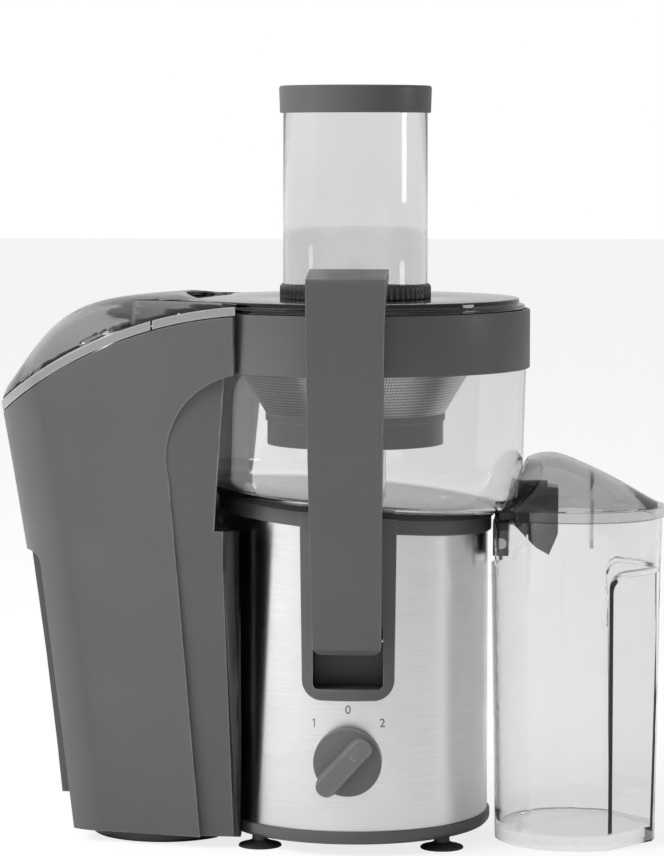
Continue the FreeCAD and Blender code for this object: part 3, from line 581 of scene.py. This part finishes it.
# ---- finishes -----------------------------------------------------------------------------
class Recipe:
    """Helper that wires one material around its Principled BSDF."""

    def __init__(self, name: str) -> None:
        """Starts a material with a Principled BSDF and its output."""
        self.material = bpy.data.materials.new(name)
        self.material.use_nodes = True
        self.tree = self.material.node_tree
        self.shader = next(n for n in self.tree.nodes if n.type == "BSDF_PRINCIPLED")

    def group(self, tree: bpy.types.NodeTree, **values: float) -> bpy.types.Node:
        """Places an effect with its own values.

        Args:
            tree: Node group.
            values: Input values by name.

        Returns:
            The group node.
        """
        node = self.tree.nodes.new("ShaderNodeGroup")
        node.node_tree = tree
        for key, value in values.items():
            node.inputs[key].default_value = value
        return node

    def mix(self, mask: bpy.types.NodeSocket, low: tuple, high: tuple | bpy.types.NodeSocket,
            first: bpy.types.NodeSocket | None = None) -> bpy.types.NodeSocket:
        """Colour between low and high by a mask.

        Args:
            mask: Socket from 0 to 1.
            low: Colour at 0, unless first is given.
            high: Colour at 1.
            first: Socket used in place of low.

        Returns:
            The colour's socket.
        """
        node = self.tree.nodes.new("ShaderNodeMix")
        node.data_type = "RGBA"
        self.tree.links.new(mask, node.inputs[0])
        node.inputs[6].default_value = (*low, 1.0)
        if first is not None:
            self.tree.links.new(first, node.inputs[6])
        node.inputs[7].default_value = (*high, 1.0)
        return node.outputs[2]

    def span(self, value: bpy.types.NodeSocket, low: float, high: float) -> bpy.types.NodeSocket:
        """Value from 0..1 mapped to low..high."""
        node = self.tree.nodes.new("ShaderNodeMapRange")
        self.tree.links.new(value, node.inputs["Value"])
        node.inputs["To Min"].default_value = low
        node.inputs["To Max"].default_value = high
        return node.outputs["Result"]

    def bump(self, height: bpy.types.NodeSocket, distance: float, strength: float = 1.0) -> None:
        """Feeds a height into the shader's normal.

        Args:
            height: Height's socket.
            distance: Depth in metres.
            strength: Share of the effect.
        """
        node = self.tree.nodes.new("ShaderNodeBump")
        node.inputs["Distance"].default_value = distance
        node.inputs["Strength"].default_value = strength
        self.tree.links.new(height, node.inputs["Height"])
        self.tree.links.new(node.outputs["Normal"], self.shader.inputs["Normal"])

    def feed(self, source: bpy.types.NodeSocket, name: str) -> None:
        """Links a socket to one of the shader's inputs."""
        self.tree.links.new(source, self.shader.inputs[name])

    def fixed(self, **values: float) -> None:
        """Sets values on the shader's own sockets, with _ for a space in a name."""
        for key, value in values.items():
            self.shader.inputs[key.replace("_", " ")].default_value = value


@dataclass(frozen=True)
class Plastic:
    """Opaque moulded plastic or rubber: grain, edges lightened for rubbing and as a painted highlight,
    smudges and dust.
    """

    name: str
    colour: tuple[float, float, float]
    roughness: float = 0.42
    spread: float = 0.1
    grain: float = 2200.0
    depth: float = 0.00002
    rubbing_and_highlight_amount: float = 0.8
    lift: float = 2.6
    dust: float = 0.15

    def build(self) -> bpy.types.Material:
        """Wires the material.

        Returns:
            The material.
        """
        recipe = Recipe(self.name)
        grain = recipe.group(moulded_grain(), Scale=self.grain)
        marks = recipe.group(handling_marks(), Dust=self.dust)
        rubbing_and_highlight_mask = recipe.group(edge_rubbing_and_highlight(), Amount=self.rubbing_and_highlight_amount)
        darker = tuple(c * 0.9 for c in self.colour)
        lighter = tuple(min(c * 1.1, 1.0) for c in self.colour)
        base = recipe.mix(grain.outputs["Patch"], darker, lighter)
        # Edges lifted to a lighter colour: partly rubbing, partly a painted highlight along the edges.
        edge_rubbed_and_lit = tuple(min(c * self.lift, 1.0) for c in self.colour)
        edged = recipe.mix(rubbing_and_highlight_mask.outputs["Mask"], self.colour, edge_rubbed_and_lit, base)
        dusted = recipe.mix(marks.outputs["Dust"], self.colour, (0.55, 0.54, 0.52), edged)
        recipe.feed(dusted, "Base Color")
        smudged = recipe.span(marks.outputs["Smudge"], self.roughness, self.roughness + self.spread)
        recipe.feed(smudged, "Roughness")
        recipe.bump(grain.outputs["Height"], self.depth)
        return recipe.material


@dataclass(frozen=True)
class Metal:
    """Metal with level brush lines or a fine even grain."""

    name: str
    colour: tuple[float, float, float]
    roughness: float = 0.3
    pitch: float = 5200.0
    depth: float = 0.000006
    anisotropy: float = 0.0
    turn: float = 0.0
    holes: float = 0.0

    def build(self) -> bpy.types.Material:
        """Wires the material.

        Returns:
            The material.
        """
        recipe = Recipe(self.name)
        lines = recipe.group(brushed_lines(), Pitch=self.pitch)
        marks = recipe.group(handling_marks(), Dust=0.0)
        darker = tuple(c * 0.93 for c in self.colour)
        base = recipe.mix(lines.outputs["Streak"], darker, self.colour)
        if self.holes:
            sieve = recipe.group(perforation(), Pitch=self.holes)
            base = recipe.mix(sieve.outputs["Hole"], self.colour, (0.03, 0.03, 0.03), base)
        recipe.feed(base, "Base Color")
        spread = recipe.span(marks.outputs["Smudge"], self.roughness, self.roughness + 0.05)
        recipe.feed(spread, "Roughness")
        recipe.bump(lines.outputs["Height"], self.depth)
        recipe.fixed(Metallic=1.0, Anisotropic=self.anisotropy, Anisotropic_Rotation=self.turn)
        return recipe.material


@dataclass(frozen=True)
class ClearPlastic:
    """Transparent moulding, clear or smoked, with faint handling marks."""

    name: str
    tint: tuple[float, float, float]
    roughness: float = 0.015
    ior: float = 1.5

    def build(self) -> bpy.types.Material:
        """Wires the material.

        Returns:
            The material.
        """
        recipe = Recipe(self.name)
        marks = recipe.group(handling_marks(), Dust=0.0)
        deeper = tuple(c * 0.985 for c in self.tint)
        recipe.feed(recipe.mix(marks.outputs["Smudge"], self.tint, deeper), "Base Color")
        recipe.feed(recipe.span(marks.outputs["Smudge"], self.roughness, self.roughness + 0.02), "Roughness")
        recipe.fixed(Transmission_Weight=1.0, IOR=self.ior)
        return recipe.material


FINISHES: dict[str, Plastic | Metal | ClearPlastic] = {
    finish.name: finish
    for finish in (
        Plastic("Satin grey plastic", (0.066, 0.067, 0.069), roughness=0.38),
        Plastic("Light grey band plastic", (0.2, 0.202, 0.205), roughness=0.3),
        Plastic("Knob plastic", (0.105, 0.106, 0.108), roughness=0.36),
        Plastic("Gloss black plastic", (0.012, 0.012, 0.013), roughness=0.16, spread=0.08, depth=0.000004),
        Plastic("Dark grey plastic", (0.035, 0.035, 0.037), roughness=0.38),
        Plastic("Black rubber", (0.014, 0.014, 0.015), roughness=0.62, depth=0.00004, lift=2.4),
        Plastic("Dial ink", (0.05, 0.05, 0.052), roughness=0.5, rubbing_and_highlight_amount=0.0, dust=0.0),
        Plastic("Circuit laminate", (0.02, 0.09, 0.035), roughness=0.35),
        Metal("Brushed steel", (0.7, 0.7, 0.695), roughness=0.3, anisotropy=0.75, turn=0.25),
        Metal("Filter steel", (0.5, 0.5, 0.5), roughness=0.33, holes=620.0),
        Metal("Machined steel", (0.6, 0.6, 0.61), roughness=0.24, pitch=9000.0),
        Metal("Laminated steel", (0.3, 0.3, 0.31), roughness=0.45, pitch=2400.0, depth=0.00003),
        Metal("Copper segments", (0.72, 0.33, 0.17), roughness=0.3),
        ClearPlastic("Clear plastic", (0.87, 0.873, 0.876)),
        ClearPlastic("Smoked plastic", (0.6, 0.605, 0.61)),
        ClearPlastic("Dark smoked plastic", (0.22, 0.223, 0.227)),
    )
}

_made: dict[str, bpy.types.Material] = {}


def finish(name: str) -> bpy.types.Material:
    """The material of a finish, built on first use.

    Args:
        name: Name of the finish.

    Returns:
        The material.
    """
    if name not in _made:
        _made[name] = FINISHES[name].build()
    return _made[name]


def publish(obj: bpy.types.Object, body: Body, slot: Slot, look: str, *nodes: str) -> bpy.types.Object:
    """Gives a finished piece its material and body, and hides the CAD nodes that it stands for.

    Args:
        obj: The piece, in place.
        body: Body that it rides on.
        slot: Record slot of its finish; not used.
        look: Name of its finish.
        nodes: CAD nodes that it replaces.

    Returns:
        The piece.
    """
    obj.data.materials.clear()
    obj.data.materials.append(finish(look))
    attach(obj, body.value)
    if nodes:
        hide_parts(*nodes)
    log.info("%s on %s, %d faces", obj.name, body.value, len(obj.data.polygons))
    return obj


def dress(node: str, look: str) -> None:
    """Gives a CAD node that stays its material.

    Args:
        node: Name of the CAD node.
        look: Name of its finish.
    """
    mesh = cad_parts[node].data
    mesh.materials.clear()
    mesh.materials.append(finish(look))
    log.info("%s dressed as %s", node, look)


# ---- sub-assemblies -----------------------------------------------------------------------
@dataclass
class MotorBase:
    """Steel shell, tray, feet, deck ring, trim, finger pocket and the dial's numbers."""

    cup_radius: float = 12.0
    stem_radius: float = 4.3
    ink_depth: float = 0.03
    number_size: float = 6.6
    number_reach: float = 27.5
    number_angles: dict[str, float] = field(default_factory=lambda: {"1": -43.0, "0": 0.0, "2": 43.0})
    shell: Extent = field(default_factory=lambda: Extent.of("steel_shell"))
    tray: Extent = field(default_factory=lambda: Extent.of("base_tray"))
    knob: Extent = field(default_factory=lambda: Extent.of("knob_shaft"))

    def build(self) -> None:
        """Builds and dresses the base."""
        self.build_tray()
        self.build_feet()
        for node, width in (("deck_ring", 0.7), ("front_trim", 0.9), ("pocket_liner", 0.5)):
            look = "Dark grey plastic" if node == "pocket_liner" else "Satin grey plastic"
            slot = Slot.DARK if node == "pocket_liner" else Slot.GREY
            publish(softened(f"{node}_rounded", node, width), Body.BASE, slot, look, node)
        dress("steel_shell", "Brushed steel")
        dress("bowl_gasket", "Black rubber")
        dress("arm_pivot_pin", "Machined steel")
        self.build_numbers()

    def build_tray(self) -> None:
        """Turns the base tray with a round lower edge."""
        r, low, lip = self.tray.radius, self.tray.low[2], self.shell.low[2] - 0.1
        inner = self.shell.radius - 1.2
        top = self.tray.high[2]
        tray = turned(
            "base_tray_turned",
            [(4, low), (r - 2.4, low), (r, low + 2.4), (r, lip), (inner, lip), (inner, top),
             (inner - 2, top), (inner - 2, low + 3), (4, low + 3)],
            [0.5, 1.6, 1.6, 0.5, 0.3, 0.4, 0.4, 1.0, 0.5])
        publish(tray, Body.BASE, Slot.GREY, "Satin grey plastic", "base_tray")

    def build_feet(self) -> None:
        """Turns the four suction cups and their stems."""
        cups = Extent.of("suction_cups")
        stems = Extent.of("foot_stems")
        stem_r, cup_r = self.stem_radius, self.cup_radius
        reach_x, reach_y = cups.high[0] - cup_r, cups.high[1] - cup_r
        top = cups.high[2]
        for number, (sx, sy) in enumerate(((-1, -1), (1, -1), (1, 1), (-1, 1)), 1):
            place = np.array([sx * reach_x, sy * reach_y])
            cup = turned(
                f"suction_cup_{number}",
                [(0.4, 1.6), (7.5, 1.2), (cup_r - 1.4, 0), (cup_r, 0), (cup_r - 0.4, 1.2),
                 (stem_r + 2.4, top - 0.9), (stem_r + 0.8, top), (0.4, top)],
                0.8, place, 64)
            publish(cup, Body.BASE, Slot.RUBBER, "Black rubber", *(["suction_cups"] if number == 1 else []))
            stem = turned(
                f"foot_stem_{number}",
                [(0.4, top), (stem_r, top), (stem_r, stems.high[2]), (0.4, stems.high[2])],
                0.3, place, 48)
            publish(stem, Body.BASE, Slot.GREY, "Dark grey plastic", *(["foot_stems"] if number == 1 else []))

    def one(self) -> bpy.types.Mesh:
        """The digit 1: an upright stroke with a short flag, from its outline in cap heights.

        Returns:
            A closed flat mesh.
        """
        outline = np.array([(0.1, -0.5), (0.1, 0.5), (0.02, 0.5), (-0.2, 0.3), (-0.2, 0.2), (0.0, 0.34),
                            (0.0, -0.5)])
        flat = outline * self.number_size * 0.72
        count = len(flat)
        rings = np.concatenate([np.c_[flat, np.full(count, z)] for z in (-self.ink_depth, self.ink_depth)])
        faces = [list(range(count))[::-1], list(range(count, 2 * count))]
        faces += grid_quads(2, count, False, True).tolist()
        mesh = bpy.data.meshes.new("digit_1")
        mesh.from_pydata(rings.tolist(), [], faces)
        return mesh

    def typed(self, digit: str) -> bpy.types.Mesh:
        """A digit as a flat mesh from the built-in typeface.

        Args:
            digit: The character.

        Returns:
            Its mesh.
        """
        curve = bpy.data.curves.new(f"digit_{digit}", "FONT")
        curve.body = digit
        curve.align_x, curve.align_y = "CENTER", "CENTER"
        curve.size = self.number_size
        curve.extrude = self.ink_depth
        flat = bpy.data.objects.new(f"digit_{digit}", curve)
        bpy.context.scene.collection.objects.link(flat)
        bpy.context.view_layer.update()
        mesh = bpy.data.meshes.new_from_object(flat.evaluated_get(bpy.context.evaluated_depsgraph_get()))
        bpy.data.objects.remove(flat)
        return mesh

    def build_numbers(self) -> None:
        """Lays the dial's numbers on the steel: x along the drum becomes an angle of x / r."""
        radius = self.shell.radius
        for digit, angle in self.number_angles.items():
            mesh = self.one() if digit == "1" else self.typed(digit)
            points = np.zeros(len(mesh.vertices) * 3)
            mesh.vertices.foreach_get("co", points)
            points = points.reshape(-1, 3)
            turn = math.radians(angle)
            across = points[:, 0] + self.number_reach * math.sin(turn)
            up = points[:, 1] + self.knob.middle[2] + self.number_reach * math.cos(turn)
            out = radius + 0.035 + points[:, 2]
            around = across / radius
            placed = np.stack([out * np.sin(around), -out * np.cos(around), up], -1) * MM + AXIS
            mesh.vertices.foreach_set("co", placed.ravel())
            mesh.update()
            piece = bpy.data.objects.new(f"dial_number_{digit}", mesh)
            bpy.context.scene.collection.objects.link(piece)
            publish(piece, Body.BASE, Slot.DARK, "Dial ink")


@dataclass
class BowlAndSpout:
    """Clear bowl, its dark collar, the spout and its bracket."""

    collar: Extent = field(default_factory=lambda: Extent.of("bowl_collar"))
    chute_half_deg: float = 27.6
    segments: int = 360

    def build(self) -> None:
        """Builds and dresses the bowl, collar and spout."""
        dress("juice_bowl", "Clear plastic")
        self.build_collar()
        publish(softened("spout_rounded", "juice_spout", 0.6), Body.BASE, Slot.DARK,
                "Gloss black plastic", "juice_spout")
        publish(softened("bracket_rounded", "spout_bracket", 0.5), Body.BASE, Slot.SMOKE,
                "Gloss black plastic", "spout_bracket")
        dress("bracket_screw", "Machined steel")

    def build_collar(self) -> None:
        """Turns the collar; where the chute opens, heights above its sill are lowered to it."""
        r, low, top = self.collar.radius, self.collar.low[2], self.collar.high[2]
        bowl_top = Extent.of("juice_bowl").high[2]
        bowl_r = Extent.of("juice_bowl").radius
        sill = bowl_top + 2.0
        profile = rounded(
            [(bowl_r + 0.1, low), (r, low), (r, top), (r - 2.4, top), (r - 2.4, top - 0.8),
             (r - 5, top - 0.8), (r - 5, bowl_top + 0.1), (bowl_r + 0.1, bowl_top + 0.1)],
            [0.3, 0.8, 1.2, 0.5, 0.2, 0.4, 0.3, 0.1])
        rings = lathe(profile, np.zeros(2), self.segments)
        angle = np.linspace(0.0, 360.0, self.segments, endpoint=False)
        away = np.abs(angle - 180.0)
        shut = np.clip((away - self.chute_half_deg) / 1.0, 0.0, 1.0)[:, None]
        height = rings[..., 2]
        rings[..., 2] = np.where(height > sill, sill + (height - sill) * shut, height)
        obj = ring_solid("bowl_collar_turned", rings)
        publish(obj, Body.BASE, Slot.GREY, "Satin grey plastic", "bowl_collar")


@dataclass
class FilterBasket:
    """Filter cone with its rim, the drum under it and the grating disc."""

    def build(self) -> None:
        """Dresses the basket's pieces."""
        dress("filter_mesh", "Filter steel")
        dress("filter_rim", "Dark grey plastic")
        dress("basket_drum", "Knob plastic")
        dress("grater_disc", "Machined steel")


@dataclass
class LidAndTube:
    """Round lid, feed tube with its rim and ribbed base ring, seal and pulp hood."""

    ribs: int = 72
    rib_depth: float = 0.45
    plate: Extent = field(default_factory=lambda: Extent.of("lid_plate"))
    tube: Extent = field(default_factory=lambda: Extent.of("feed_tube"))
    rim: Extent = field(default_factory=lambda: Extent.of("tube_rim"))
    ring: Extent = field(default_factory=lambda: Extent.of("tube_collar"))
    wall: float = 2.5

    def build(self) -> None:
        """Builds and dresses the lid."""
        self.build_plate()
        self.build_tube()
        self.build_ring()
        dress("lid_seal", "Black rubber")
        whole = softened("pulp_hood_whole", "pulp_hood", 0.0)
        side = [(-121.0, 299.2), (-112.0, 270.0), (0.0, 270.0), (0.0, 300.6)]
        publish(carved(whole, "pulp_hood_clear", side, Keep.OUTSIDE), Body.LID, Slot.SMOKE,
                "Smoked plastic", "pulp_hood")
        publish(carved(whole, "pulp_hood_cheek", side, Keep.INSIDE), Body.LID, Slot.SMOKE,
                "Gloss black plastic", "pulp_hood")
        bpy.data.objects.remove(whole)
        dress("hood_bridge", "Gloss black plastic")

    def build_plate(self) -> None:
        """Turns the lid plate with its stepped rim."""
        low, top = self.plate.low[2], self.plate.high[2]
        flange_r = self.plate.radius
        lid_r = flange_r - 3
        bore = self.tube.radius + 0.1
        plate = turned(
            "lid_plate_turned",
            [(bore, top - self.wall), (bore, top), (lid_r, top), (lid_r, top - 3), (flange_r, top - 3.5),
             (flange_r, low), (lid_r - 2, low), (lid_r - 2, top - self.wall)],
            [0.2, 0.3, 1.2, 0.6, 0.8, 0.4, 0.3, 0.6], segments=256)
        publish(plate, Body.LID, Slot.SMOKE, "Dark smoked plastic", "lid_plate")

    def build_tube(self) -> None:
        """Turns the feed tube and its rim."""
        r, low, top = self.tube.radius, self.tube.low[2], self.tube.high[2]
        tube = turned("feed_tube_turned", [(r - self.wall, low), (r, low), (r, top), (r - self.wall, top)],
                      [0.8, 0.8, 0.2, 0.2])
        publish(tube, Body.LID, Slot.CLEAR, "Clear plastic", "feed_tube")
        rim_r, rim_low, rim_top = self.rim.radius, self.rim.low[2], self.rim.high[2]
        rim = turned(
            "tube_rim_turned",
            [(r - self.wall, top + 0.1), (r + 0.1, top + 0.1), (r + 0.1, rim_low), (rim_r - 0.5, rim_low),
             (rim_r, rim_top), (r - self.wall, rim_top)],
            [0.1, 0.1, 0.3, 0.8, 1.8, 1.6], steps=6)
        publish(rim, Body.LID, Slot.GREY, "Satin grey plastic", "tube_rim")

    def build_ring(self) -> None:
        """Turns the tube's base ring, its outside waved by ribs: r - depth * |sin(n a / 2)|."""
        inner, outer = self.tube.radius + 0.1, self.ring.radius
        low, top = self.ring.low[2], self.ring.high[2]
        profile = rounded([(inner, low), (outer, low), (outer, top - 1.6), (outer - 1.2, top), (inner, top)],
                          [0.1, 0.2, 0.8, 0.5, 0.2])
        rings = lathe(profile, np.zeros(2), self.ribs * 10)
        angle = np.linspace(0.0, FULL_TURN, self.ribs * 10, endpoint=False)[:, None]
        wave = self.rib_depth * np.abs(np.sin(angle * self.ribs / 2))
        radius = np.hypot(rings[..., 0], rings[..., 1])
        share = np.clip((radius - inner) / (outer - inner), 0.0, 1.0)
        shrink = 1.0 - wave * share / radius
        rings[..., 0] *= shrink
        rings[..., 1] *= shrink
        ring = ring_solid("tube_ring_ribbed", rings)
        publish(ring, Body.LID, Slot.DARK, "Gloss black plastic", "tube_collar")


@dataclass
class LockingArm:
    """Locking arm with its core."""

    def build(self) -> None:
        """Builds and dresses the arm."""
        publish(softened("locking_arm_rounded", "locking_arm", 0.9, 4), Body.ARM, Slot.GREY,
                "Satin grey plastic", "locking_arm")
        dress("arm_core", "Dark grey plastic")


@dataclass
class SpeedKnob:
    """Speed knob with its inlay and shaft."""

    def build(self) -> None:
        """Builds and dresses the knob."""
        publish(softened("speed_knob_rounded", "speed_knob", 0.7, 3), Body.KNOB, Slot.GREY,
                "Knob plastic", "speed_knob")
        dress("knob_pointer", "Knob plastic")
        dress("knob_shaft", "Dark grey plastic")


@dataclass
class PulpBin:
    """Pulp bin with its rim bands and foot."""

    def build(self) -> None:
        """Builds and dresses the bin."""
        whole = softened("pulp_bin_whole", "pulp_bin", 0.0)
        side = [(-61.5, 330.0), (-61.5, 262.0), (-66.5, 235.0), (-68.5, 160.0), (-63.5, -5.0), (0.0, -5.0),
                (0.0, 330.0)]
        front = carved(whole, "pulp_bin_rounded", side, Keep.OUTSIDE)
        publish(round_edges(front, 0.8), Body.BIN, Slot.GREY, "Satin grey plastic", "pulp_bin")
        # The bin's strip beside the base is painted gloss black: painted shadow in the gap between the bin
        # and the base.
        edge = carved(whole, "pulp_bin_painted_shadow_edge", side, Keep.INSIDE)
        publish(edge, Body.BIN, Slot.DARK, "Gloss black plastic", "pulp_bin")
        bpy.data.objects.remove(whole)
        for node in ("bin_rim_outer", "bin_rim_inner"):
            publish(softened(f"{node}_rounded", node, 0.35, 2), Body.BIN, Slot.GREY,
                    "Light grey band plastic", node)
        publish(softened("bin_foot_rounded", "bin_foot", 1.4, 4), Body.BIN, Slot.DARK,
                "Dark grey plastic", "bin_foot")


@dataclass
class Jug:
    """Clear jug, its smoked lid and the froth separator."""

    def build(self) -> None:
        """Builds and dresses the jug."""
        dress("juice_jug", "Clear plastic")
        dress("jug_lid", "Smoked plastic")
        dress("froth_separator", "Smoked plastic")


@dataclass
class Internals:
    """Motor and other pieces inside the base, which keep their CAD shapes."""

    looks: dict[str, str] = field(default_factory=lambda: {
        "tray_screws": "Machined steel", "motor_deck": "Dark grey plastic", "upper_bearing": "Machined steel",
        "shaft_seal": "Black rubber", "motor_housing_lower": "Dark grey plastic",
        "motor_housing_upper": "Dark grey plastic", "lower_bearing": "Machined steel",
        "motor_stator": "Laminated steel", "carbon_brushes": "Black rubber", "rubber_mounts": "Black rubber",
        "speed_switch": "Dark grey plastic", "safety_switch": "Dark grey plastic",
        "circuit_board": "Circuit laminate", "capacitor": "Dark grey plastic", "cord_inlet": "Black rubber",
        "motor_shaft": "Machined steel", "armature": "Laminated steel", "commutator": "Copper segments",
        "cooling_fan": "Dark grey plastic", "drive_coupler": "Dark grey plastic",
    })

    def build(self) -> None:
        """Dresses the inner pieces."""
        for node, look in self.looks.items():
            dress(node, look)


@dataclass
class Studio:
    """Pale floor, soft lights and the camera."""

    distance: float = 1.9
    height: float = 0.385
    azimuth_deg: float = 3.0
    pitch_deg: float = 4.75
    aim_left: float = 0.013
    fov_deg: float = 14.265
    floor_glow: float = 0.8
    field_light: float = 0.22
    left_light: float = 0.6
    right_light: float = 0.3
    top_light: float = 1.2
    left_shine: float = 1.0
    right_shine: float = 0.62

    def build(self) -> None:
        """Builds the floor, lights, world and camera."""
        self.build_floor()
        self.build_world()
        self.build_camera()
        for name, place, aim, size, power, glossy in (
            ("key", (-1.96, -0.92, 1.45), (0, 0, 0.2), 1.2, 80.0, False),
            ("strip", (1.6, -0.1, 0.5), (0, 0, 0.25), 0.28, 1.6, True),
            ("top", (0.0, 0.4, 2.6), (0, 0, 0), 2.4, 8.0, False),
        ):
            self.add_light(name, place, aim, size, power, glossy)

    def build_floor(self) -> None:
        """A wide pale floor with a slight wave of tone."""
        mesh = bpy.data.meshes.new("floor")
        half = 12.0
        corners = [(-half, -half, 0), (half, -half, 0), (half, half, 0), (-half, half, 0)]
        mesh.from_pydata(corners, [], [(0, 1, 2, 3)])
        floor = bpy.data.objects.new("floor", mesh)
        bpy.context.scene.collection.objects.link(floor)
        recipe = Recipe("Studio floor")
        marks = recipe.group(handling_marks(), Dust=0.0)
        recipe.feed(recipe.mix(marks.outputs["Smudge"], (0.95, 0.95, 0.95), (0.94, 0.94, 0.94)), "Base Color")
        recipe.fixed(Roughness=0.8, Specular_IOR_Level=0.2)
        tree = recipe.tree
        path = tree.nodes.new("ShaderNodeLightPath")
        seen = tree.nodes.new("ShaderNodeMath")
        seen.operation = "MAXIMUM"
        tree.links.new(path.outputs["Is Camera Ray"], seen.inputs[0])
        tree.links.new(path.outputs["Is Transmission Ray"], seen.inputs[1])
        share = tree.nodes.new("ShaderNodeMath")
        share.operation = "MULTIPLY"
        share.inputs[1].default_value = self.floor_glow
        tree.links.new(seen.outputs[0], share.inputs[0])
        glow = tree.nodes.new("ShaderNodeEmission")
        mixed = tree.nodes.new("ShaderNodeMixShader")
        tree.links.new(share.outputs[0], mixed.inputs[0])
        tree.links.new(recipe.shader.outputs[0], mixed.inputs[1])
        tree.links.new(glow.outputs[0], mixed.inputs[2])
        output = next(n for n in tree.nodes if n.type == "OUTPUT_MATERIAL")
        tree.links.new(mixed.outputs[0], output.inputs["Surface"])
        mesh.materials.append(recipe.material)

    def build_world(self) -> None:
        """White to the eye, a bright field behind glass, and a soft room that is lighter on the left.

        With (x, y, z) the direction looked at, the light seen through glass grows with y from
        field_light to white, and the room's light falls with x from left to right.
        """
        world = bpy.data.worlds.new("studio")
        world.use_nodes = True
        tree = world.node_tree
        link = tree.links.new

        def made(kind: str, **settings: object) -> bpy.types.Node:
            """New world node with settings."""
            node = tree.nodes.new(kind)
            for key, value in settings.items():
                setattr(node, key, value)
            return node

        def ramp(source: bpy.types.NodeSocket, start: float, end: float, low: float,
                 high: float) -> bpy.types.NodeSocket:
            """Smooth change from low to high as source goes from start to end."""
            node = made("ShaderNodeMapRange", interpolation_type="SMOOTHSTEP")
            link(source, node.inputs["Value"])
            for key, value in (("From Min", start), ("From Max", end), ("To Min", low), ("To Max", high)):
                node.inputs[key].default_value = value
            return node.outputs["Result"]

        def times(a: bpy.types.NodeSocket, b: bpy.types.NodeSocket) -> bpy.types.NodeSocket:
            """Product of two sockets."""
            node = made("ShaderNodeMath", operation="MULTIPLY")
            link(a, node.inputs[0])
            link(b, node.inputs[1])
            return node.outputs[0]

        parts = made("ShaderNodeSeparateXYZ")
        link(made("ShaderNodeTexCoord").outputs["Generated"], parts.inputs[0])
        field = ramp(parts.outputs["Y"], 0.1, 0.85, self.field_light, 1.0)
        across = ramp(parts.outputs["X"], -0.85, 0.9, self.left_light, self.right_light)
        above = ramp(parts.outputs["Z"], 0.1, 0.9, 1.0, self.top_light)
        shine = ramp(parts.outputs["X"], -0.85, 0.9, self.left_shine, self.right_shine)
        room = tree.nodes["Background"]
        link(times(across, above), room.inputs["Strength"])
        room.inputs["Color"].default_value = (1.0, 1.0, 1.0, 1.0)
        white = made("ShaderNodeBackground")
        white.inputs["Color"].default_value = (1.0, 1.0, 1.0, 1.0)
        path = made("ShaderNodeLightPath")
        glass = made("ShaderNodeBackground")
        link(field, glass.inputs["Strength"])
        gloss = made("ShaderNodeBackground")
        link(shine, gloss.inputs["Strength"])
        last = room.outputs[0]
        rays = (("Is Glossy Ray", gloss), ("Is Transmission Ray", glass), ("Is Camera Ray", white))
        for ray, shade in rays:
            mixed = made("ShaderNodeMixShader")
            link(path.outputs[ray], mixed.inputs[0])
            link(last, mixed.inputs[1])
            link(shade.outputs[0], mixed.inputs[2])
            last = mixed.outputs[0]
        link(last, tree.nodes["World Output"].inputs["Surface"])
        bpy.context.scene.world = world

    def add_light(self, name: str, place: tuple, aim: tuple, size: float, power: float,
                  glossy: bool) -> None:
        """Adds a square area light.

        Args:
            name: Its name.
            place: Position in metres.
            aim: Point that it faces.
            size: Side in metres.
            power: Power in watts.
            glossy: Whether it shows in reflections.
        """
        data = bpy.data.lights.new(name, "AREA")
        data.energy = power
        data.size = size
        light = bpy.data.objects.new(name, data)
        light.visible_glossy = glossy
        light.location = place
        light.rotation_euler = (Vector(aim) - Vector(place)).to_track_quat("-Z", "Y").to_euler()
        bpy.context.scene.collection.objects.link(light)

    def build_camera(self) -> None:
        """The camera, a little to the right of the front and above, aimed left of the axis."""
        turn = math.radians(self.azimuth_deg)
        data = bpy.data.cameras.new("camera")
        data.sensor_width = 36.0
        data.lens = 18.0 / math.tan(math.radians(self.fov_deg / 2))
        camera = bpy.data.objects.new("camera", data)
        out = Vector((math.sin(turn), -math.cos(turn), 0))
        side = Vector((math.cos(turn), math.sin(turn), 0))
        centre = Vector(AXIS)
        camera.location = centre + out * self.distance + Vector((0, 0, self.height))
        drop = self.distance * math.tan(math.radians(self.pitch_deg))
        target = centre - side * self.aim_left + Vector((0, 0, self.height - drop))
        camera.rotation_euler = (target - camera.location).to_track_quat("-Z", "Y").to_euler()
        bpy.context.scene.collection.objects.link(camera)
        bpy.context.scene.camera = camera


def main() -> None:
    """Builds every sub-assembly in order, then the studio."""
    logging.basicConfig(level=logging.INFO, format="%(message)s")
    bpy.context.scene.view_settings.view_transform = "Standard"
    for part in (MotorBase(), BowlAndSpout(), FilterBasket(), LidAndTube(), LockingArm(), SpeedKnob(),
                 PulpBin(), Jug(), Internals(), Studio()):
        part.build()


if __name__ == "__main__":
    main()
